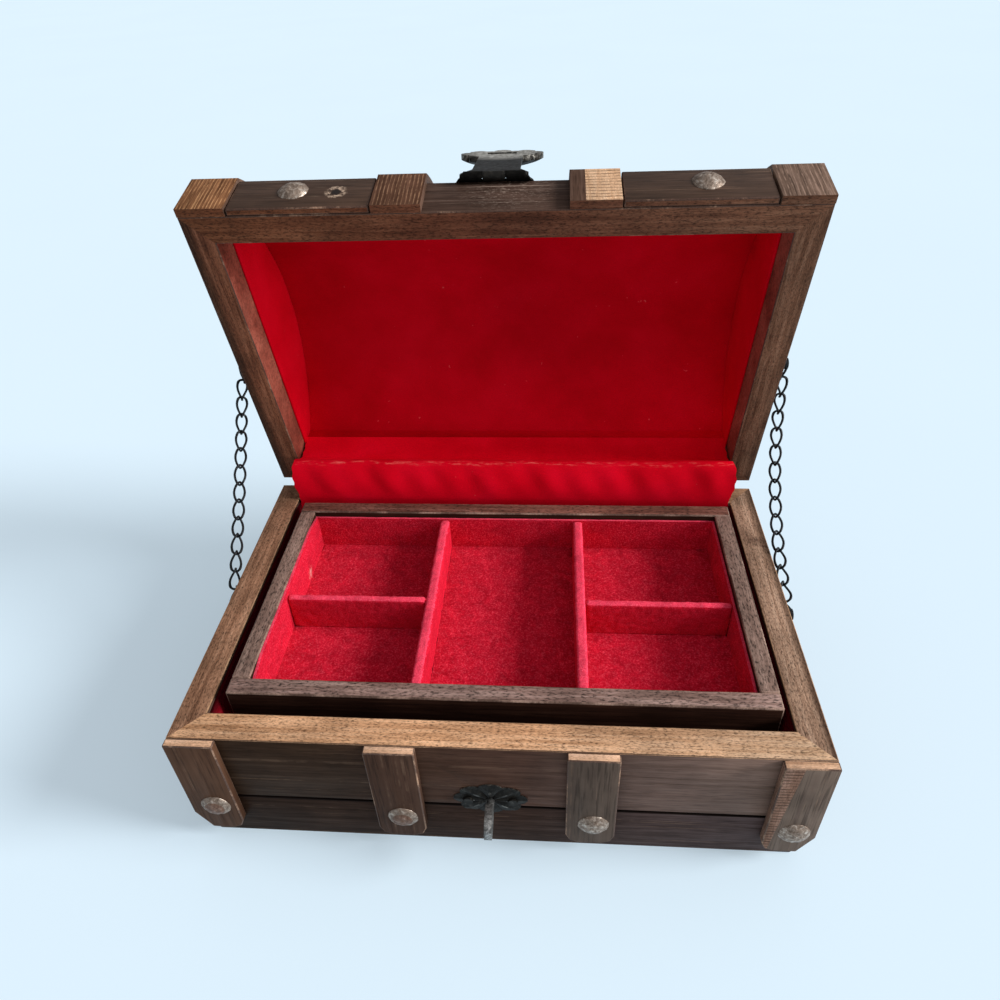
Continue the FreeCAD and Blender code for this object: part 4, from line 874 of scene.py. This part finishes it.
def tray_rails():
    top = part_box("tray_front_rail")[1].z
    for node, finish in (("tray_front_rail", "tray_top"), ("tray_back_rail", "tray_back_top"),
                         ("tray_left_rail", "tray_side_top"), ("tray_right_rail", "tray_side_top")):
        rail = copy_of(node, node + "_board")
        dress(rail, "tray_side", finish, "tray_edge")
        finish_faces(rail, 1, lambda at, normal: normal.z > FACING and at.z > top - NEAR)
        ease(rail, 0.6 * MM, 3, 2)
        stand_for(rail, "tray", "tray_wood", node)
    eased("tray_floor", "tray_floor_board", "tray", "tray_wood", "tray_side", "tray_edge", 0.3 * MM)


# Hinge cloth: its section as y and z in mm, from the body's back board to the lid's back rail

CLOTH_SECTION = (
    (61.0, 52.5), (61.2, 56.5), (61.4, 60.5), (62.2, 66.5), (63.6, 72.0), (65.2, 76.4), (67.0, 78.6),
    (69.2, 78.0), (71.6, 76.0), (74.2, 74.9), (78.0, 75.2), (82.0, 76.2), (85.0, 77.2), (87.6, 78.6),
)
CLOTH_WIDTH = 206.0 * MM
CLOTH_THICKNESS = 0.9 * MM
CLOTH_ROWS, CLOTH_COLUMNS = 56, 150
FOLD_SPREAD = 2.2 * MM
CREST_AT, CREST_WIDTH = 0.54, 0.016


def cloth_line(count):
    """Even points along the cloth's section, with the length of the line."""
    bpy.ops.curve.primitive_nurbs_path_add()
    path = bpy.context.object
    path.data.splines.clear()
    spline = path.data.splines.new("NURBS")
    spline.points.add(len(CLOTH_SECTION) - 1)
    for point, (y, z) in zip(spline.points, CLOTH_SECTION):
        point.co = (0.0, y * MM, z * MM, 1.0)
    spline.order_u = 3
    spline.use_endpoint_u = True
    spline.resolution_u = 24
    mesh = bpy.data.meshes.new_from_object(path)
    line = [vertex.co.copy() for vertex in mesh.vertices]
    bpy.data.objects.remove(path)
    runs = [0.0]
    for before, after in zip(line, line[1:]):
        runs.append(runs[-1] + (after - before).length)
    even = []
    index = 0
    for step in range(count):
        want = runs[-1] * step / (count - 1)
        while index < len(runs) - 2 and runs[index + 1] < want:
            index += 1
        share = (want - runs[index]) / max(runs[index + 1] - runs[index], 1e-9)
        even.append(line[index].lerp(line[index + 1], share))
    return even, runs[-1]


def hinge_cloth():
    """The cloth strip, puckered where it hangs loose and spread a little at its fold."""
    line, length = cloth_line(CLOTH_ROWS)
    bpy.ops.mesh.primitive_grid_add(x_subdivisions=CLOTH_COLUMNS - 1, y_subdivisions=CLOTH_ROWS - 1, size=1.0)
    cloth = bpy.context.object
    cloth.name = "hinge_cloth_strip"
    # Masks for painted light: the brighter upper part of the strip and the highlight line along the fold's
    # crest.
    crest = cloth.data.attributes.new("crest", "FLOAT", "POINT")
    lit_upper = cloth.data.attributes.new("lit_upper", "FLOAT", "POINT")
    for index, vertex in enumerate(cloth.data.vertices):
        side = 2 * vertex.co.x
        x = vertex.co.x * CLOTH_WIDTH
        row = round((vertex.co.y + 0.5) * (CLOTH_ROWS - 1))
        share = row / (CLOTH_ROWS - 1)
        at = line[row]
        loose = math.sin(math.pi * clamped((share - 0.12) / 0.55)) ** 2
        pucker = (0.55 * math.sin(x * 160 + 1.3 * math.sin(x * 90)) + 0.35 * math.sin(x * 420 + share * 9)) * MM
        ragged = 0.25 * MM * math.sin(share * 61 + (0 if x < 0 else 2)) * abs(side) ** 40
        spread = FOLD_SPREAD * side * math.sin(math.pi * clamped((share - 0.2) / 0.42)) ** 0.7
        vertex.co = (x + ragged + spread, at.y + loose * pucker, at.z + 0.7 * loose * pucker)
        lit_upper.data[index].value = clamped((share - 0.55) / 0.1)
        off_crest = abs(share - CREST_AT - 0.006 * math.sin(x * 70))
        crest.data[index].value = max(0.0, 1.0 - off_crest / CREST_WIDTH)
    edit(cloth, lambda: bpy.ops.mesh.normals_make_consistent(inside=False))
    modify(cloth, "SOLIDIFY", thickness=CLOTH_THICKNESS, offset=0.0)
    dress(cloth, "hinge_cloth", "frayed")
    finish_faces(cloth, 1, lambda at, normal: abs(normal.x) > 0.6)
    smooth(cloth, 60.0)
    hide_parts("hinge_cloth")
    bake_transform(cloth)


# Chains: each one's side, the links in its runs, and its pivots as y and z in mm

LINK_WIRE, LINK_INSIDE, LINK_WIDTH, LINK_PITCH = 1.05 * MM, 7.9 * MM, 5.6 * MM, 7.65 * MM
LINK_TWIST = 130.0
LINK_ROLL = 67.0
LINK_DRIFT = 84.0
LINK_STAND, PIN_LINK_STAND = 3.5 * MM, 2.4 * MM
CHAINS = {
    "left": (-1, (("body_run", 5), ("low_link", 1), ("high_link", 1), ("lid_run", 7)), (
        (1.0, 49.5), (5.76, 54.286), (11.099, 59.765), (16.382, 65.298), (21.608, 70.884), (26.778, 76.523),
        (31.89, 82.214), (36.944, 87.957), (41.939, 93.751), (46.875, 99.595), (51.752, 105.489),
        (56.568, 111.433), (61.324, 117.425), (66.019, 123.465), (70.107, 128.836))),
    "right": (1, (("body_run", 5), ("low_link", 1), ("high_link", 1), ("middle_run", 3), ("lid_run", 5)), (
        (1.0, 49.5), (7.556, 51.106), (14.798, 53.57), (21.797, 56.659), (28.498, 60.349), (34.85, 64.612),
        (40.805, 69.415), (46.315, 74.721), (51.34, 80.49), (55.84, 86.676), (59.781, 93.233),
        (63.132, 100.11), (65.868, 107.254), (67.968, 114.61), (69.415, 122.122), (70.107, 128.836))),
}


def chain_link():
    """One oval link of round wire along X, twisted as in a curb chain."""
    bend = (LINK_WIDTH - LINK_WIRE) / 2
    side = (LINK_INSIDE + LINK_WIRE) / 2 - bend
    bpy.ops.mesh.primitive_torus_add(major_radius=bend, minor_radius=LINK_WIRE / 2, major_segments=32,
                                     minor_segments=10)
    link = bpy.context.object
    for vertex in link.data.vertices:
        share = max(-1.0, min(1.0, vertex.co.x / bend * 1.6))
        vertex.co.x += side * share
    modify(link, "SIMPLE_DEFORM", deform_method="TWIST", angle=math.radians(LINK_TWIST), deform_axis="X")
    smooth(link)
    return link


def chains():
    """Both chains; the links roll slowly along each, so that they show first one end and then the other."""
    source = chain_link()
    for side, (sign, runs, points) in CHAINS.items():
        line = [Vector((0.0, y * MM, z * MM)) for y, z in points]
        last = len(line) - 2
        start = 0
        for run, length in runs:
            links = []
            for index in range(start, start + length):
                along = (line[index + 1] - line[index]).normalized()
                if index == 0:
                    middle = line[1] - along * (LINK_PITCH / 2)
                else:
                    middle = line[index] + along * (LINK_PITCH / 2)
                middle.x = sign * (HALF_WIDTH + (PIN_LINK_STAND if index in (0, last) else LINK_STAND))
                across = Vector((0.0, -along.z, along.y))
                turn = Matrix((along, across, along.cross(across))).transposed().to_4x4()
                drift = LINK_DRIFT / 2 - LINK_DRIFT * index / last
                roll = Matrix.Rotation(math.radians(sign * LINK_ROLL + drift), 4, "X")
                links.append(copied(source, "link", Matrix.Translation(middle) @ turn @ roll))
            node = "chain_%s_%s" % (side, run)
            take(links[0])
            for link in links:
                link.select_set(True)
            bpy.ops.object.join()
            links[0].name = node + "_links"
            dress(links[0], "chain")
            stand_for(links[0], node, "chain_black", node)
            start += length
    bpy.data.objects.remove(source)


# Metalwork

BOWL_DEPTH = 4.6 * MM
BOWL_FROM = 38.0 * MM
BOWL_HALF_LENGTH, BOWL_HALF_WIDTH = 11.0 * MM, 17.0 * MM
LOBES_FROM = 41.0 * MM
LOBES_WIDER = 0.08


def hasp():
    """The hasp's leaf with its dished lobed end, and its base with flared knuckles."""
    leaf = copy_of("hasp_leaf", "hasp_leaf_iron", plain_faces=False)
    slice_evenly(leaf, 1.2 * MM)
    for vertex in leaf.data.vertices:
        at = vertex.co - HASP_AXIS
        reach = at.dot(HASP_BACK)
        vertex.co.x += LOBES_WIDER * at.x * clamped((reach - 42.0 * MM) / (5.0 * MM))
        rim = ((reach - HASP_REACH) / BOWL_HALF_LENGTH) ** 2 + (at.x / BOWL_HALF_WIDTH) ** 2
        if reach > BOWL_FROM and at.dot(HASP_UP) < 0:
            petal = 0.75 + 0.25 * abs(math.cos(4.0 * math.atan2(reach - HASP_REACH, at.x)))
            vertex.co -= HASP_UP * (BOWL_DEPTH * petal * max(0.0, 1.0 - rim) ** 0.7)
    dress(leaf, "black", "black_edge", "lit_iron")
    # The leaf's upward faces take lit_iron: painted light near the lobes, painted shade further back.
    finish_faces(leaf, 2, lambda at, normal: normal.dot(HASP_UP) > 0.4
                 and (at - HASP_AXIS).dot(HASP_BACK) > 10.0 * MM)
    finish_faces(leaf, 1, lambda at, normal: abs(normal.dot(HASP_UP)) < 0.3
                 and (at - HASP_AXIS).dot(HASP_BACK) > LOBES_FROM)
    smooth(leaf, 40.0)
    stand_for(leaf, "hasp", "black_metal", "hasp_leaf")
    base = copy_of("hasp_base", "hasp_base_iron", plain_faces=False)
    slice_evenly(base, 1.5 * MM)
    for vertex in base.data.vertices:
        at = vertex.co - HASP_AXIS
        if at.dot(HASP_BACK) < 4.0 * MM:
            vertex.co.x -= at.x * 0.06 * at.dot(HASP_UP) / MM
    dress(base, "soot", "black_edge")
    ease(base, 0.25 * MM, 2, 1)
    stand_for(base, "lid", "black_metal", "hasp_base")


def metalwork():
    eased("turn_button", "turn_button_steel", "button", "worn_steel", "steel", "black_edge", 0.6 * MM)
    eased("hinge_body_leaves", "hinge_leaves_body", "box_body", "hinge_metal", "brass", "brass", 0.2 * MM)
    eased("hinge_lid_leaves", "hinge_leaves_lid", "lid", "hinge_metal", "brass", "brass", 0.2 * MM)
    for node, finish in (("hinge_pins", "brass"), ("hasp_pin", "black"), ("body_screws", "black"),
                         ("lid_screws", "brass"), ("chain_body_pins", "chain"), ("chain_lid_pins", "chain")):
        for place in frame["nodes"][node].material_slots:
            place.material = FINISH[finish]


PLATE_RINGS, PLATE_AROUND, PLATE_PETALS = 14, 192, 8
PLATE_THICKNESS = 0.5 * MM
PLATE_GAP = 0.05 * MM
PLATE_CREST = 1.18 * MM


def latch_plate():
    """The lobed plate with its raised petals and a boss in the middle."""
    low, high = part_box("latch_plate")
    middle = (low + high) / 2
    half_x, half_z = (high.x - low.x) / 2, (high.z - low.z) / 2
    bpy.ops.mesh.primitive_circle_add(vertices=PLATE_AROUND, radius=1.0, fill_type="NOTHING")
    plate = bpy.context.object
    plate.name = "latch_plate_petals"
    take(plate)
    bpy.ops.object.mode_set(mode="EDIT")
    bpy.ops.mesh.select_all(action="SELECT")
    for ring in range(1, PLATE_RINGS):
        size = (1 - ring / PLATE_RINGS) / (1 - (ring - 1) / PLATE_RINGS)
        bpy.ops.mesh.extrude_edges_move()
        bpy.ops.transform.resize(value=(size, size, 1.0))
    bpy.ops.mesh.edge_face_add()
    bpy.ops.object.mode_set(mode="OBJECT")
    for vertex in plate.data.vertices:
        reach = math.hypot(vertex.co.x, vertex.co.y)
        angle = math.atan2(vertex.co.y, vertex.co.x)
        lobe = abs(math.cos(PLATE_PETALS * angle / 2))
        outline = 0.83 + 0.17 * lobe ** 0.6
        wave = lobe ** 0.8 * math.sin(math.pi * min(1.0, reach * 1.02)) ** 1.2
        ridge = max(0.0, 1.0 - (1.0 - lobe) * 9) * reach * 0.35
        boss = 0.7 * math.exp(-(reach / 0.2) ** 2)
        rise = (0.3 + 0.75 * wave + 0.8 * ridge + boss) * MM
        x = vertex.co.x * outline * half_x
        z = vertex.co.y * outline * half_z
        vertex.co = (middle.x + x, high.y - PLATE_GAP - rise, middle.z + z)
    edit(plate, lambda: bpy.ops.mesh.normals_make_consistent(inside=False))
    if sum(face.normal.y for face in plate.data.polygons) > 0:
        edit(plate, lambda: bpy.ops.mesh.flip_normals())
    modify(plate, "SOLIDIFY", thickness=PLATE_THICKNESS, offset=-1.0)
    dress(plate, "black", "black_edge")
    finish_faces(plate, 1, lambda at, normal: at.y < high.y - PLATE_CREST or abs(normal.y) < 0.3)
    smooth(plate, 50.0)
    stand_for(plate, "box_body", "black_metal", "latch_plate")


# Setting: the focal length and the principal point are shares of the picture's width

CAMERA_AT = (0.020634, -0.223404, 0.289422)
CAMERA_YAW, CAMERA_PITCH, CAMERA_ROLL = (math.radians(angle) for angle in (-5.656, -36.45, -3.044))
CAMERA_FOCAL = 0.760578
CAMERA_MIDDLE = (0.492418, 0.470219)
SENSOR = 36.0
KEY_TOWARD = Vector((0.86, -0.05, 0.46)).normalized()
KEY_ENERGY, KEY_ANGLE = 4.1, 21.0
LAMP_AT = Vector((0.42, -0.11, 0.13))
LAMP_ENERGY, LAMP_ANGLE, LAMP_SIZE = 8.8, 19.0, 0.05
LID_LEFT_END = Vector((-0.104, 0.068, 0.135))
ROOM_TOWARD = Vector((0.64, -0.34, 0.69)).normalized()
ROOM_DARK, ROOM_LIGHT = (0.13, 0.137, 0.148), (0.62, 0.63, 0.655)
PAPER_DARK, PAPER_LIGHT = (0.42, 0.503, 0.56), (0.428, 0.513, 0.571)
PAPER_GLOW, PAPER_GLOW_STRENGTH = (0.745, 0.896, 1.0, 1.0), 0.38


def photo_camera():
    """The camera of the photograph, fitted to the box's corners."""
    ahead = Vector((math.sin(CAMERA_YAW), math.cos(CAMERA_YAW), 0.0))
    level = Vector((math.cos(CAMERA_YAW), -math.sin(CAMERA_YAW), 0.0))
    forward = ahead * math.cos(CAMERA_PITCH) + Vector((0.0, 0.0, math.sin(CAMERA_PITCH)))
    over = level.cross(forward)
    right = level * math.cos(CAMERA_ROLL) + over * math.sin(CAMERA_ROLL)
    up = over * math.cos(CAMERA_ROLL) - level * math.sin(CAMERA_ROLL)
    bpy.ops.object.camera_add()
    camera = bpy.context.object
    camera.matrix_world = Matrix.Translation(CAMERA_AT) @ Matrix((right, up, -forward)).transposed().to_4x4()
    camera.data.sensor_width = SENSOR
    camera.data.lens = SENSOR * CAMERA_FOCAL
    camera.data.shift_x = 0.5 - CAMERA_MIDDLE[0]
    camera.data.shift_y = CAMERA_MIDDLE[1] - 0.5
    camera.data.clip_start = 0.01
    bpy.context.scene.camera = camera


def pale_floor():
    bpy.ops.mesh.primitive_plane_add(size=60.0)
    floor = bpy.context.object
    floor.name = "pale_floor"
    paper = Finish("pale_paper")
    tone = paper.ramp(paper.noise(paper.place(), 3.0, 2.0), (0.3, PAPER_DARK), (0.7, PAPER_LIGHT))
    paper.done(tone, 0.9, Specular_IOR_Level=0.0, Emission_Color=PAPER_GLOW,
               Emission_Strength=PAPER_GLOW_STRENGTH)
    dress(floor, "pale_paper")


def lights():
    """A soft key from the right, and a narrow lamp for the left end inside the lid."""
    bpy.ops.object.light_add(type="SUN")
    key = bpy.context.object
    key.data.energy = KEY_ENERGY
    key.data.angle = math.radians(KEY_ANGLE)
    key.rotation_euler = KEY_TOWARD.to_track_quat("Z", "Y").to_euler()
    bpy.ops.object.light_add(type="SPOT", location=LAMP_AT)
    lamp = bpy.context.object
    lamp.data.energy = LAMP_ENERGY
    lamp.data.spot_size = math.radians(LAMP_ANGLE)
    lamp.data.spot_blend = 1.0
    lamp.data.shadow_soft_size = LAMP_SIZE
    lamp.rotation_euler = (LAMP_AT - LID_LEFT_END).to_track_quat("Z", "Y").to_euler()


def room():
    """A dim room that is brighter at the front on the right."""
    f = Finish("room", bpy.data.worlds, "Background")
    spot = f.add("TexCoord").outputs["Generated"]
    side = f.add("VectorMath", {0: spot, 1: ROOM_TOWARD}, operation="DOT_PRODUCT").outputs["Value"]
    share = f.add("Math", {0: side, 1: 0.5, 2: 0.5}, operation="MULTIPLY_ADD").outputs[0]
    f.put(f.shader.inputs["Color"], f.ramp(share, (0.1, ROOM_DARK), (0.95, ROOM_LIGHT)))
    bpy.context.scene.world = f.look
    bpy.context.scene.view_settings.view_transform = "Standard"


photo_camera()
body_boards()
body_straps()
nails()
lid_boards()
lid_straps()
linings()
felts()
dividers()
tray_rails()
hinge_cloth()
chains()
metalwork()
hasp()
latch_plate()
pale_floor()
lights()
room()
